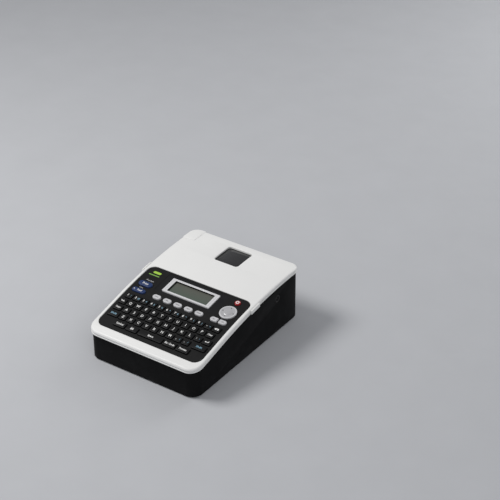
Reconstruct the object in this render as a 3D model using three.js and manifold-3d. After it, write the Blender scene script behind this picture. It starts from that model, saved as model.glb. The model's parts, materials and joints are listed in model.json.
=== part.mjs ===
// Desktop label maker: a curved two-part case with a keyboard panel, a cassette lid over the
// print mechanism, a battery bay in the base and a cutter button on the rear left corner.
// Millimetres, +Z up, the keyboard faces -Y, origin on the ground below the middle of the body.
import * as THREE from "three";
import { mergeVertices } from "three/addons/utils/BufferGeometryUtils.js";
import Module from "manifold-3d";

const wasm = await Module();
wasm.setup();

// Body
const BODY_WIDTH = 134.4;
const BODY_FRONT = -90;
const BODY_REAR = 93;
const BODY_HEIGHT = 60;
const FRONT_CORNER = 13;
const REAR_CORNER = 10;
const FAR = 120;
const GAP = 0.3;

// Top surface: a straight slope at the keyboard, then one arc up to a level crest
const SLOPE = THREE.MathUtils.degToRad(13.5);
const SLOPE_LENGTH = 38;
const CROWN_RADIUS = 510;
const CROWN_STEPS = 8;

// Keyboard panel
const PANEL_WIDTH = 126;
const PANEL_LENGTH = 93;
const PANEL_CORNER = 8.5;
const FRONT_LIP = 10.5;
const PANEL_RECESS = 0.3;
const PANEL_THICKNESS = 1.6;
const LEDGE_WIDTH = 2.5;
const LEDGE_DROP = 2.2;

// White cover band and black base
const BAND_HEIGHT = 4.6;
const BASE_INSET = 1.6;
const BASE_REAR_INSET = 0.3;
const WALL = 2.2;
const FOOT_RADIUS = 4;
const FOOT_HEIGHT = 1.2;
const FOOT_SEAT = 0.8;
const FLOOR = 2.4;
const FOOT_PLACES = [[-52, -81], [52, -81], [-60.9, 82], [60.9, 82]];
const POST_RADIUS = 3;
const POST_PLACES = [[-60, -71.5], [60, -71.5], [-59.5, 6.5], [59.5, 6.5]];
const SCREW_RADIUS = 1.4;
const SCREW_HEAD_RADIUS = 2.6;
const SCREW_HEAD_DEPTH = 1.5;
const SCREW_LENGTH = 12;

// Cassette lid
const LID_FRONT = 2.8;
const LID_SKIN = 2;
const LID_RIM = 2.4;
const WINDOW_WIDTH = 29.6;
const WINDOW_LENGTH = 29;
const WINDOW_MIDDLE = 68.3;
const WINDOW_CORNER = 3;
const PANE_OVERLAP = 1.8;
const PANE_THICKNESS = 0.8;
const TAB_REACH = 1.4;
const TAB_LENGTH = 14;
const HINGE_Y = 91.9;
const HINGE_Z = 53.4;
const HINGE_LEFT = -46;
const HINGE_RIGHT = 53;
const HINGE_PIN_RADIUS = 0.6;
const HINGE_PIN_LENGTH = 1.2;
const SKIRT_RADIUS = 1.1;

// Cutter button on the rear left corner
const CUTTER_INNER_X = -52.6;
const CUTTER_FRONT_Y = 71.5;
const CUTTER_TRAVEL = 4;
const CUTTER_SKIRT = 8;
const CUTTER_SKIRT_WALL = 1.7;
const CUTTER_WELL_WALL = 2;
const STEM_LEFT = -62.6;
const STEM_RIGHT = -59.9;
const BLADE_LEFT = -62.5;
const BLADE_THICKNESS = 0.8;

// Keys, measured square to the panel from the top surface
const KEY_RISE = 1.1;
const KEY_ROOT = -2.6;
const KEY_FLANGE = 0.8;
const KEY_FLANGE_REACH = 0.5;
const KEY_CLEARANCE = 0.35;
const KEY_DEPTH = 6.9;
const KEY_WIDTH = 8.4;
const KEY_PITCH = 9.8;
const KEY_CHAMFER = 1.2;
const RUNNER_DEPTH = 5.2;
const DOME_SHEET_DROP = 4.8;
const DOME_SHEET_THICKNESS = 0.8;
const BOARD_DROP = 10;
const BOARD_THICKNESS = 1.6;

// Display
const BEZEL_WIDTH = 59;
const BEZEL_LENGTH = 21.7;
const BEZEL_RIM_X = 3.9;
const BEZEL_RIM_Y = 2.1;
const BEZEL_RISE = 0.35;
const BEZEL_ROOT = -2.2;
const LENS_TOP = -1;
const LENS_THICKNESS = 0.8;
const DISPLAY_Y = 75.7;

// Battery bay and door
const DOOR_HALF_WIDTH = 55.7;
const DOOR_FRONT = 24;
const DOOR_THICKNESS = 2.2;
const DOOR_FLANGE_REACH = 2.3;
const DOOR_TOP = 5;
const TRAY_HALF_WIDTH = 56;
const TRAY_FRONT = 27;
const TRAY_REAR = 78;
const TRAY_WALL = 1.6;
const TRAY_BOTTOM = 5.3;
const TRAY_ROOF = 20.3;
const TRAY_TOP = 21.7;

// Cassette bay and print mechanism
const DECK_BOTTOM = 25;
const DECK_TOP = 27;
const DECK_LEFT = -62.6;
const BAY_LEFT = -34;
const BAY_RIGHT = 46;
const BAY_FRONT = 20;
const BAY_REAR = 86;
const BAY_WALL = 1.6;
const BAY_TOP = 50;
const GEAR_BOTTOM = 22.1;
const GEAR_TOP = 24.6;
const GEAR_ADDENDUM = 0.8;
const GEAR_DEDENDUM = 1.1;
const SHAFT_RADIUS = 1.5;
const SHAFT_BORE = 1.6;
const MOTOR_PLACE = new THREE.Vector2(-54, 36);
const PLATEN_PLACE = new THREE.Vector2(-48, 72.8);
const FEED_PLACE = new THREE.Vector2(-55.5, 72.3);
const RIBBON_PLACE = new THREE.Vector2(-5, 58);
const GUIDE_PLACES = [new THREE.Vector2(-39.5, 76), new THREE.Vector2(-39.5, 83)];
const HOLDER_TRAVEL = 3;
const PLATEN_RADIUS = 4.9;
const FEED_RADIUS = 2.2;
const SPINDLE_RADIUS = 3;
const TAPE_Y = 68;
const TAPE_SLOT = 3;
const SLOT_BOTTOM = 28;
const SLOT_TOP = 50;
const PINION_TEETH = 10;
const IDLER_TEETH = 26;
const TRANSFER_TEETH = 22;
const RIBBON_TEETH = 20;
const PLATEN_TEETH = 14;
const JACK_Y = 52.7;
const JACK_Z = 40.3;
const JACK_NOSE = 4;
const JACK_BORE = 2.8;
const JACK_PIN = 0.9;
const JACK_DEPTH = 12;

const PANEL_FRONT = BODY_FRONT + FRONT_LIP;
const ARC_START = PANEL_FRONT + SLOPE_LENGTH;
const CREST_Y = ARC_START + CROWN_RADIUS * Math.sin(SLOPE);
const WHITE = 0xe2e2df;
const CHARCOAL = 0x232323;
const BLACK = 0x0c0c0d;
const SILVER = 0xcfcfcf;
const STEEL = 0xb9bcc0;
const NAVY = 0x22365f;

// Lengthwise places count from 90 mm behind the front edge; the group then moves to the middle
const labelMaker = new THREE.Group();
labelMaker.position.y = -(BODY_FRONT + BODY_REAR) / 2;

// Height of the top surface and its forward tilt
function topZ(y) {
  if (y >= CREST_Y) return BODY_HEIGHT;
  if (y < ARC_START) return topZ(ARC_START) - (ARC_START - y) * Math.tan(SLOPE);
  return BODY_HEIGHT - CROWN_RADIUS + Math.sqrt(CROWN_RADIUS ** 2 - (CREST_Y - y) ** 2);
}

function topTilt(y) {
  const across = THREE.MathUtils.clamp(CREST_Y - y, 0, CREST_Y - ARC_START);
  return Math.asin(across / CROWN_RADIUS);
}

// Solids
function solid(geometry) {
  const bare = geometry.clone();
  bare.deleteAttribute("normal");
  bare.deleteAttribute("uv");
  const merged = mergeVertices(bare, 1e-4);
  const vertProperties = new Float32Array(merged.attributes.position.array);
  const triVerts = new Uint32Array(merged.index.array);
  return new wasm.Manifold(new wasm.Mesh({ numProp: 3, vertProperties, triVerts }));
}

function geometryOf(body) {
  const data = body.getMesh();
  const geometry = new THREE.BufferGeometry();
  geometry.setAttribute("position", new THREE.BufferAttribute(data.vertProperties, 3));
  geometry.setIndex(new THREE.BufferAttribute(data.triVerts, 1));
  return geometry;
}

function prism(shape, bottom, top, steps = 4) {
  const geometry = new THREE.ExtrudeGeometry(shape, {
    depth: top - bottom,
    bevelEnabled: false,
    curveSegments: steps,
  });
  return geometry.translate(0, 0, bottom);
}

function block(x0, x1, y0, y1, z0, z1) {
  const box = new THREE.BoxGeometry(x1 - x0, y1 - y0, z1 - z0);
  return box.translate((x0 + x1) / 2, (y0 + y1) / 2, (z0 + z1) / 2);
}

function post(place, radius, bottom, top, sides = 12) {
  const cylinder = new THREE.CylinderGeometry(radius, radius, top - bottom, sides);
  return cylinder.rotateX(Math.PI / 2).translate(place.x, place.y, (bottom + top) / 2);
}

function pinAlongX(y, z, radius, x0, x1, sides = 8) {
  const cylinder = new THREE.CylinderGeometry(radius, radius, x1 - x0, sides);
  return cylinder.rotateZ(Math.PI / 2).translate((x0 + x1) / 2, y, z);
}

// Outlines
function roundedRect(x0, x1, y0, y1, frontRadius, rearRadius) {
  const shape = new THREE.Shape();
  shape.absarc(x1 - frontRadius, y0 + frontRadius, frontRadius, -Math.PI / 2, 0, false);
  shape.absarc(x1 - rearRadius, y1 - rearRadius, rearRadius, 0, Math.PI / 2, false);
  shape.absarc(x0 + rearRadius, y1 - rearRadius, rearRadius, Math.PI / 2, Math.PI, false);
  shape.absarc(x0 + frontRadius, y0 + frontRadius, frontRadius, Math.PI, Math.PI * 1.5, false);
  shape.closePath();
  return shape;
}

function bodyOutline(inset, rearInset = inset) {
  const x = BODY_WIDTH / 2 - inset;
  const rearCorner = REAR_CORNER - rearInset;
  return roundedRect(-x, x, BODY_FRONT + inset, BODY_REAR - rearInset, FRONT_CORNER - inset, rearCorner);
}

function panelOutline(grow) {
  const x = PANEL_WIDTH / 2 + grow;
  const rear = PANEL_FRONT + PANEL_LENGTH + grow;
  const corner = PANEL_CORNER + grow;
  return roundedRect(-x, x, PANEL_FRONT - grow, rear, corner, corner);
}

function chamferedRect(width, length, chamfer) {
  const x = width / 2;
  const y = length / 2;
  const shape = new THREE.Shape();
  shape.moveTo(x - chamfer, -y);
  shape.lineTo(x, -y + chamfer);
  shape.lineTo(x, y - chamfer);
  shape.lineTo(x - chamfer, y);
  shape.lineTo(-x + chamfer, y);
  shape.lineTo(-x, y - chamfer);
  shape.lineTo(-x, -y + chamfer);
  shape.lineTo(-x + chamfer, -y);
  shape.closePath();
  return shape;
}

function plainRect(width, length) {
  const shape = new THREE.Shape();
  shape.moveTo(width / 2, -length / 2);
  shape.lineTo(width / 2, length / 2);
  shape.lineTo(-width / 2, length / 2);
  shape.lineTo(-width / 2, -length / 2);
  shape.closePath();
  return shape;
}

function pill(width, length) {
  const radius = length / 2;
  const centre = width / 2 - radius;
  const shape = new THREE.Shape();
  shape.moveTo(-centre, -radius);
  shape.lineTo(centre, -radius);
  shape.absarc(centre, 0, radius, -Math.PI / 2, Math.PI / 2, false);
  shape.lineTo(-centre, radius);
  shape.absarc(-centre, 0, radius, Math.PI / 2, Math.PI * 1.5, false);
  return shape;
}

function oval(width, length) {
  const shape = new THREE.Shape();
  shape.absellipse(0, 0, width / 2, length / 2, 0, Math.PI * 2, false, 0);
  return shape;
}

// One half of a split pill, round on the side that side points to
function halfPill(width, length, side) {
  const radius = length / 2;
  const flat = -side * width / 2;
  const centre = side * (width / 2 - radius);
  const shape = new THREE.Shape();
  shape.moveTo(flat, -side * radius);
  shape.lineTo(centre, -side * radius);
  shape.absarc(centre, 0, radius, -side * Math.PI / 2, side * Math.PI / 2, false);
  shape.lineTo(flat, side * radius);
  shape.closePath();
  return shape;
}

// Everything below the top surface lowered by a depth
function below(depth) {
  const shape = new THREE.Shape();
  const places = [-FAR, ARC_START];
  for (let step = 1; step <= CROWN_STEPS; step += 1) {
    places.push(ARC_START + (CREST_Y - ARC_START) * step / CROWN_STEPS);
  }
  places.push(FAR);
  shape.moveTo(-FAR, -FAR);
  for (const y of places) shape.lineTo(y, topZ(y) - depth);
  shape.lineTo(FAR, -FAR);
  shape.closePath();
  const geometry = prism(shape, -FAR, FAR);
  const toLengthwise = new THREE.Matrix4().set(0, 0, 1, 0, 1, 0, 0, 0, 0, 1, 0, 0, 0, 0, 0, 1);
  return solid(geometry.applyMatrix4(toLengthwise));
}

function layer(upper, lower) {
  return below(upper).subtract(below(lower));
}

// Placing on the top surface; panelY is measured back from the panel's front edge
function onSurface(x, panelY) {
  const y = PANEL_FRONT + panelY;
  const frame = new THREE.Group();
  frame.position.set(x, y, topZ(y));
  frame.rotation.x = topTilt(y);
  frame.updateMatrix();
  return frame;
}

function cutter(shape, x, panelY) {
  const hole = prism(shape, -6, 4, 6);
  return solid(hole.applyMatrix4(onSurface(x, panelY).matrix));
}

function add(name, geometry, color, roughness, metalness, parent = labelMaker) {
  const material = new THREE.MeshStandardMaterial({ color, roughness, metalness });
  const mesh = new THREE.Mesh(geometry, material);
  mesh.name = name;
  parent.add(mesh);
  return mesh;
}

// Keys: the four letter rows, then the single keys
function evenRow(firstX, count, pitch = KEY_PITCH) {
  return Array.from({ length: count }, (_, index) => [firstX + pitch * index, KEY_WIDTH]);
}

const LETTER_ROWS = {
  number_key_row: { panelY: 44.3, keys: evenRow(-54.4, 12) },
  qwerty_key_row: { panelY: 35.4, keys: evenRow(-55.9, 12) },
  home_key_row: { panelY: 26.6, keys: [[-54.9, 9.4], ...evenRow(-44.3, 10), [54.6, 9.4]] },
  shift_key_row: { panelY: 17.6, keys: [[-53.4, 12.6], ...evenRow(-41.6, 9, 9.7), [51.6, 15.6]] },
};

const rectKey = (width, length) => (grow) => {
  return chamferedRect(width + 2 * grow, length + 2 * grow, KEY_CHAMFER + grow / 2);
};
const ovalKey = (width, length) => (grow) => oval(width + 2 * grow, length + 2 * grow);
const pillKey = (width, length) => (grow) => pill(width + 2 * grow, length + 2 * grow);
const halfPillKey = (width, length, side) => (grow) => {
  return halfPill(width + 2 * grow, length + 2 * grow, side);
};

const SINGLE_KEYS = {
  symbol_key: { x: -38.4, panelY: 8.6, outline: rectKey(14, KEY_DEPTH), color: BLACK },
  accent_key: { x: -23.2, panelY: 8.6, outline: rectKey(13.6, KEY_DEPTH), color: BLACK },
  space_key: { x: -0.3, panelY: 8.6, outline: rectKey(29, KEY_DEPTH), color: BLACK },
  barcode_key: { x: 22.9, panelY: 8.6, outline: rectKey(14.6, KEY_DEPTH), color: BLACK },
  format_key: { x: 38.8, panelY: 8.6, outline: rectKey(14.4, KEY_DEPTH), color: BLACK },
  print_key: { x: -50.3, panelY: 65.1, outline: pillKey(16, 6.4), color: NAVY },
  feed_key: { x: -50.6, panelY: 54.4, outline: pillKey(16.4, 4.7), color: NAVY },
  power_key: { x: 49.7, panelY: 84.9, outline: ovalKey(6, 6), color: 0xb02020 },
  escape_key: { x: 42.5, panelY: 54.9, outline: halfPillKey(8.4, 5.4, -1), color: SILVER },
  ok_key: { x: 52.7, panelY: 54.9, outline: halfPillKey(8.4, 5.4, 1), color: SILVER },
};
for (let index = 0; index < 5; index += 1) {
  SINGLE_KEYS[`function_key_${index + 1}`] = {
    x: -28.1 + 13.05 * index,
    panelY: 54.9,
    outline: pillKey(9.2, 5.4),
    color: SILVER,
  };
}
const NAV_PLACE = { x: 49.4, panelY: 68.9 };
const NAV_RADIUS = 9;
const NAV_TILT_CLEARANCE = 0.5;

function letterRow(name, row) {
  const left = row.keys[0][0];
  const right = row.keys[row.keys.length - 1][0];
  const runnerBottom = KEY_ROOT - KEY_FLANGE;
  let strip = solid(block(left, right, -RUNNER_DEPTH / 2, RUNNER_DEPTH / 2, runnerBottom, KEY_ROOT));
  for (const [x, width] of row.keys) {
    const cap = prism(chamferedRect(width, KEY_DEPTH, KEY_CHAMFER), runnerBottom, KEY_RISE);
    strip = strip.add(solid(cap.translate(x, 0, 0)));
  }
  const frame = onSurface(0, row.panelY);
  labelMaker.add(frame);
  add(name, geometryOf(strip), BLACK, 0.55, 0, frame);
}

function singleKey(name, key) {
  const flangeBottom = KEY_ROOT - KEY_FLANGE;
  const cap = solid(prism(key.outline(0), flangeBottom, KEY_RISE, 6));
  const flange = solid(prism(key.outline(KEY_FLANGE_REACH), flangeBottom, KEY_ROOT, 6));
  const frame = onSurface(key.x, key.panelY);
  labelMaker.add(frame);
  add(name, geometryOf(cap.add(flange)), key.color, 0.45, 0, frame);
}

function navigationPad() {
  const frame = onSurface(NAV_PLACE.x, NAV_PLACE.panelY);
  labelMaker.add(frame);
  const profile = [
    [0, -3.2], [NAV_RADIUS - 1, -3.2], [NAV_RADIUS - 1, -0.4], [NAV_RADIUS, -0.2],
    [NAV_RADIUS, 0.9], [NAV_RADIUS - 0.8, 1.3], [5, 1.1], [4, 1.5], [0, 1.9],
  ].map(([radius, height]) => new THREE.Vector2(radius, height));
  const pad = new THREE.LatheGeometry(profile, 24).rotateX(Math.PI / 2);
  add("nav_pad", geometryOf(solid(pad)), 0xb4b4b4, 0.4, 0, frame);
  const pivot = new THREE.CylinderGeometry(3, 3, 0.8, 12).rotateX(Math.PI / 2).translate(0, 0, -4);
  add("nav_pivot", geometryOf(solid(pivot)), 0x303235, 0.6, 0, frame);
}

// Case
function topCase() {
  const front = solid(block(-FAR, FAR, -FAR, LID_FRONT - GAP, 0, FAR));
  let cover = solid(prism(bodyOutline(0), 0, FAR, 6)).intersect(layer(0, BAND_HEIGHT)).intersect(front);
  const seat = solid(prism(panelOutline(GAP), 0, FAR, 5)).intersect(layer(-FAR, LEDGE_DROP));
  const opening = solid(prism(panelOutline(-LEDGE_WIDTH), 0, FAR, 5));
  const ledge = solid(prism(panelOutline(0), 0, FAR, 5)).intersect(layer(LEDGE_DROP, BAND_HEIGHT));
  cover = cover.subtract(seat).add(ledge).subtract(opening);
  for (const [x, y] of POST_PLACES) {
    const place = new THREE.Vector2(x, y);
    const column = solid(post(place, POST_RADIUS, FOOT_HEIGHT + FLOOR + GAP, FAR));
    cover = cover.add(column.intersect(below(LEDGE_DROP)));
    cover = cover.subtract(solid(post(place, SCREW_RADIUS + GAP, 0, SCREW_LENGTH + 3)));
  }
  add("top_case", geometryOf(cover), WHITE, 0.42, 0);
}

function baseCase() {
  const bottom = FOOT_HEIGHT;
  const floorTop = FOOT_HEIGHT + FLOOR;
  let base = solid(prism(bodyOutline(BASE_INSET, BASE_REAR_INSET), bottom, FAR, 6));
  const hollow = prism(bodyOutline(BASE_INSET + WALL, BASE_REAR_INSET + WALL), floorTop, FAR, 6);
  base = base.subtract(solid(hollow));

  // Inner wall that the cutter button's skirt slides over
  const wellInset = CUTTER_SKIRT_WALL + 0.5;
  const wellTop = BODY_HEIGHT - LID_SKIN - CUTTER_TRAVEL - 2 * GAP;
  const well = solid(prism(bodyOutline(wellInset), bottom, wellTop, 6));
  const wellHollow = solid(prism(bodyOutline(wellInset + CUTTER_WELL_WALL), bottom, FAR, 6));
  const corner = solid(block(-FAR, CUTTER_INNER_X + GAP, CUTTER_FRONT_Y - GAP, FAR, 0, FAR));
  base = base.add(well.subtract(wellHollow).intersect(corner));
  const skirtFloor = BODY_HEIGHT - CUTTER_SKIRT - CUTTER_TRAVEL - GAP;
  const skirtSpace = solid(prism(bodyOutline(-1), skirtFloor, FAR, 6));
  const skirtCore = solid(prism(bodyOutline(wellInset), skirtFloor, wellTop, 6));
  base = base.subtract(skirtSpace.subtract(skirtCore).intersect(corner));

  // Top edge, hinge notch and hinge holes
  base = base.intersect(below(BAND_HEIGHT + GAP));
  const notch = block(HINGE_LEFT, HINGE_RIGHT, HINGE_Y - 3, FAR, HINGE_Z - SKIRT_RADIUS - GAP, FAR);
  base = base.subtract(solid(notch));
  const holeX0 = HINGE_LEFT - HINGE_PIN_LENGTH - GAP;
  const holeX1 = HINGE_RIGHT + HINGE_PIN_LENGTH + GAP;
  base = base.subtract(solid(pinAlongX(HINGE_Y, HINGE_Z, HINGE_PIN_RADIUS + GAP, holeX0, holeX1)));

  // Tape exit, jack hole and battery door opening
  const sideWall = BODY_WIDTH / 2 - BASE_INSET - WALL;
  const slotFront = TAPE_Y - TAPE_SLOT / 2;
  const slot = block(-FAR, 1 - sideWall, slotFront, slotFront + TAPE_SLOT, SLOT_BOTTOM, SLOT_TOP);
  base = base.subtract(solid(slot));
  base = base.subtract(solid(pinAlongX(JACK_Y, JACK_Z, JACK_NOSE + GAP, sideWall - 1, FAR, 16)));
  const doorX = DOOR_HALF_WIDTH + GAP;
  const flangeX = doorX + DOOR_FLANGE_REACH;
  base = base.subtract(solid(block(-doorX, doorX, DOOR_FRONT - GAP, FAR, 0, floorTop + 1)));
  const rearSlot = block(-flangeX, flangeX, BODY_REAR - 5, FAR, floorTop - 0.1, DOOR_TOP + GAP);
  base = base.subtract(solid(rearSlot));

  // Foot seats and screw holes
  for (const [x, y] of FOOT_PLACES) {
    const place = new THREE.Vector2(x, y);
    base = base.subtract(solid(post(place, FOOT_RADIUS + GAP, 0, bottom + FOOT_SEAT, 16)));
  }
  for (const [x, y] of POST_PLACES) {
    const place = new THREE.Vector2(x, y);
    base = base.subtract(solid(post(place, SCREW_RADIUS + GAP, 0, SCREW_LENGTH)));
    base = base.subtract(solid(post(place, SCREW_HEAD_RADIUS + GAP, 0, bottom + SCREW_HEAD_DEPTH)));
  }
  add("base_case", geometryOf(base), BLACK, 0.5, 0);
}

function cassetteLid() {
  const rear = solid(block(-FAR, FAR, LID_FRONT, FAR, 0, FAR));
  let lid = solid(prism(bodyOutline(0), 0, FAR, 6)).intersect(layer(0, BAND_HEIGHT)).intersect(rear);
  const pocketOutline = solid(prism(bodyOutline(LID_RIM), 0, FAR, 6));
  const pocketFront = PANEL_FRONT + PANEL_LENGTH + GAP + LID_RIM;
  let pocket = pocketOutline.intersect(below(LID_SKIN));
  pocket = pocket.intersect(solid(block(-FAR, FAR, pocketFront, FAR, 0, FAR)));
  const cutterRim = block(-FAR, CUTTER_INNER_X + LID_RIM, CUTTER_FRONT_Y - LID_RIM, FAR, 0, FAR);
  lid = lid.subtract(pocket.subtract(solid(cutterRim)));
  lid = lid.subtract(solid(prism(panelOutline(GAP), 0, FAR, 5)));
  lid = lid.subtract(solid(block(-FAR, CUTTER_INNER_X + GAP, CUTTER_FRONT_Y - GAP, FAR, 0, FAR)));

  const halfX = WINDOW_WIDTH / 2;
  const front = WINDOW_MIDDLE - WINDOW_LENGTH / 2;
  const back = WINDOW_MIDDLE + WINDOW_LENGTH / 2;
  const window = roundedRect(-halfX, halfX, front, back, WINDOW_CORNER, WINDOW_CORNER);
  lid = lid.subtract(solid(prism(window, 0, FAR, 3)));

  // Finger tabs on both sides and the rear skirt with its hinge pins
  const tabLayer = layer(0.5, BAND_HEIGHT - 0.1);
  const reach = BODY_WIDTH / 2 + TAB_REACH;
  for (const side of [-1, 1]) {
    const ends = [side * (reach - TAB_REACH - 1), side * reach].sort((a, b) => a - b);
    const tab = block(ends[0], ends[1], LID_FRONT, LID_FRONT + TAB_LENGTH, 0, FAR);
    lid = lid.add(solid(tab).intersect(tabLayer));
  }
  const skirtFront = HINGE_Y - SKIRT_RADIUS;
  const skirtX0 = HINGE_LEFT + GAP;
  const skirtX1 = HINGE_RIGHT - GAP;
  const skirt = block(skirtX0, skirtX1, skirtFront, BODY_REAR, HINGE_Z, BODY_HEIGHT - 1);
  lid = lid.add(solid(skirt));
  lid = lid.add(solid(pinAlongX(HINGE_Y, HINGE_Z, SKIRT_RADIUS, skirtX0, skirtX1, 12)));
  const pinX0 = HINGE_LEFT - HINGE_PIN_LENGTH;
  const pinX1 = HINGE_RIGHT + HINGE_PIN_LENGTH;
  lid = lid.add(solid(pinAlongX(HINGE_Y, HINGE_Z, HINGE_PIN_RADIUS, pinX0, pinX1)));
  add("cassette_lid", geometryOf(lid), WHITE, 0.42, 0);

  const paneX = halfX + PANE_OVERLAP;
  const pane = solid(block(-paneX, paneX, front - PANE_OVERLAP, back + PANE_OVERLAP, 0, FAR));
  const paneLayer = layer(LID_SKIN + GAP, LID_SKIN + GAP + PANE_THICKNESS);
  add("lid_window", geometryOf(pane.intersect(paneLayer)), 0x101214, 0.15, 0);
}

function cutterButton() {
  const corner = solid(block(-FAR, CUTTER_INNER_X, CUTTER_FRONT_Y, FAR, 0, FAR));
  const outline = solid(prism(bodyOutline(0), 0, FAR, 6));
  const plate = outline.intersect(layer(0, LID_SKIN)).intersect(corner);
  const skirtBottom = BODY_HEIGHT - CUTTER_SKIRT;
  const skirtTop = BODY_HEIGHT - LID_SKIN / 2;
  const skirtOuter = solid(prism(bodyOutline(0), skirtBottom, skirtTop, 6));
  const skirtInner = solid(prism(bodyOutline(CUTTER_SKIRT_WALL), 0, FAR, 6));
  const skirt = skirtOuter.subtract(skirtInner).intersect(corner).intersect(below(1));
  const stem = solid(block(STEM_LEFT, STEM_RIGHT, 80, 84, skirtBottom + 0.5, BODY_HEIGHT - 1));
  add("cutter_button", geometryOf(plate.add(skirt).add(stem)), WHITE, 0.42, 0);
}

function keyboardPanel() {
  const lower = PANEL_RECESS + PANEL_THICKNESS;
  let panel = solid(prism(panelOutline(0), 0, FAR, 5)).intersect(layer(PANEL_RECESS, lower));
  for (const row of Object.values(LETTER_ROWS)) {
    for (const [x, width] of row.keys) {
      const opening = plainRect(width + 2 * KEY_CLEARANCE, KEY_DEPTH + 2 * KEY_CLEARANCE);
      panel = panel.subtract(cutter(opening, x, row.panelY));
    }
  }
  for (const key of Object.values(SINGLE_KEYS)) {
    panel = panel.subtract(cutter(key.outline(KEY_CLEARANCE), key.x, key.panelY));
  }
  const navHole = oval(2 * (NAV_RADIUS + KEY_CLEARANCE), 2 * (NAV_RADIUS + KEY_CLEARANCE));
  panel = panel.subtract(cutter(navHole, NAV_PLACE.x, NAV_PLACE.panelY));
  const displayHole = chamferedRect(BEZEL_WIDTH + 2 * GAP, BEZEL_LENGTH + 2 * GAP, 1);
  panel = panel.subtract(cutter(displayHole, 0, DISPLAY_Y));
  add("keyboard_panel", geometryOf(panel), CHARCOAL, 0.5, 0);
}

function display() {
  const frame = onSurface(0, DISPLAY_Y);
  labelMaker.add(frame);
  const innerWidth = BEZEL_WIDTH - 2 * BEZEL_RIM_X;
  const innerLength = BEZEL_LENGTH - 2 * BEZEL_RIM_Y;
  const ring = solid(prism(chamferedRect(BEZEL_WIDTH, BEZEL_LENGTH, 1), BEZEL_ROOT, BEZEL_RISE));
  const hole = solid(prism(chamferedRect(innerWidth, innerLength, 0.6), -3, 2));
  add("lcd_bezel", geometryOf(ring.subtract(hole)), 0xd8d8d8, 0.35, 0.2, frame);
  const lensOutline = chamferedRect(innerWidth - 2 * GAP, innerLength - 2 * GAP, 0.5);
  const lens = prism(lensOutline, LENS_TOP - LENS_THICKNESS, LENS_TOP);
  add("lcd_lens", lens, 0x5b6457, 0.12, 0, frame);
  const module = prism(chamferedRect(BEZEL_WIDTH - 3, BEZEL_LENGTH - 1.5, 0.5), -5.5, -2.5);
  add("lcd_module", module, 0x2b332c, 0.5, 0, frame);
}

function electronics() {
  const half = 55.5;
  const sheetLayer = layer(DOME_SHEET_DROP, DOME_SHEET_DROP + DOME_SHEET_THICKNESS);
  const outline = solid(block(-half, half, PANEL_FRONT + 3, PANEL_FRONT + 89, 0, FAR));
  const displayRoom = solid(block(-31, 31, PANEL_FRONT + 62.5, FAR, 0, FAR));
  const sheet = outline.intersect(sheetLayer).subtract(displayRoom);
  add("key_dome_sheet", geometryOf(sheet), 0x8d9094, 0.7, 0);

  const board = prism(chamferedRect(104, 80, 3), -BOARD_DROP - BOARD_THICKNESS, -BOARD_DROP);
  const frame = onSurface(0, 0);
  labelMaker.add(frame);
  add("main_board", board.translate(0, 46, 0), 0x1e5b36, 0.55, 0, frame);

  const wallInside = BODY_WIDTH / 2 - BASE_INSET - WALL;
  const back = wallInside - JACK_DEPTH;
  const housing = solid(block(back, wallInside - 0.5, JACK_Y - 4.6, JACK_Y + 4.6, JACK_Z - 5.4, JACK_Z + 4.6));
  const nose = solid(pinAlongX(JACK_Y, JACK_Z, JACK_NOSE, wallInside - 1, wallInside + WALL - 0.1, 16));
  const socket = solid(pinAlongX(JACK_Y, JACK_Z, JACK_BORE, back + 2.5, FAR, 12));
  const pin = solid(pinAlongX(JACK_Y, JACK_Z, JACK_PIN, back + 2, wallInside + 1.3));
  add("dc_jack", geometryOf(housing.add(nose).subtract(socket).add(pin)), BLACK, 0.45, 0);
}

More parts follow.
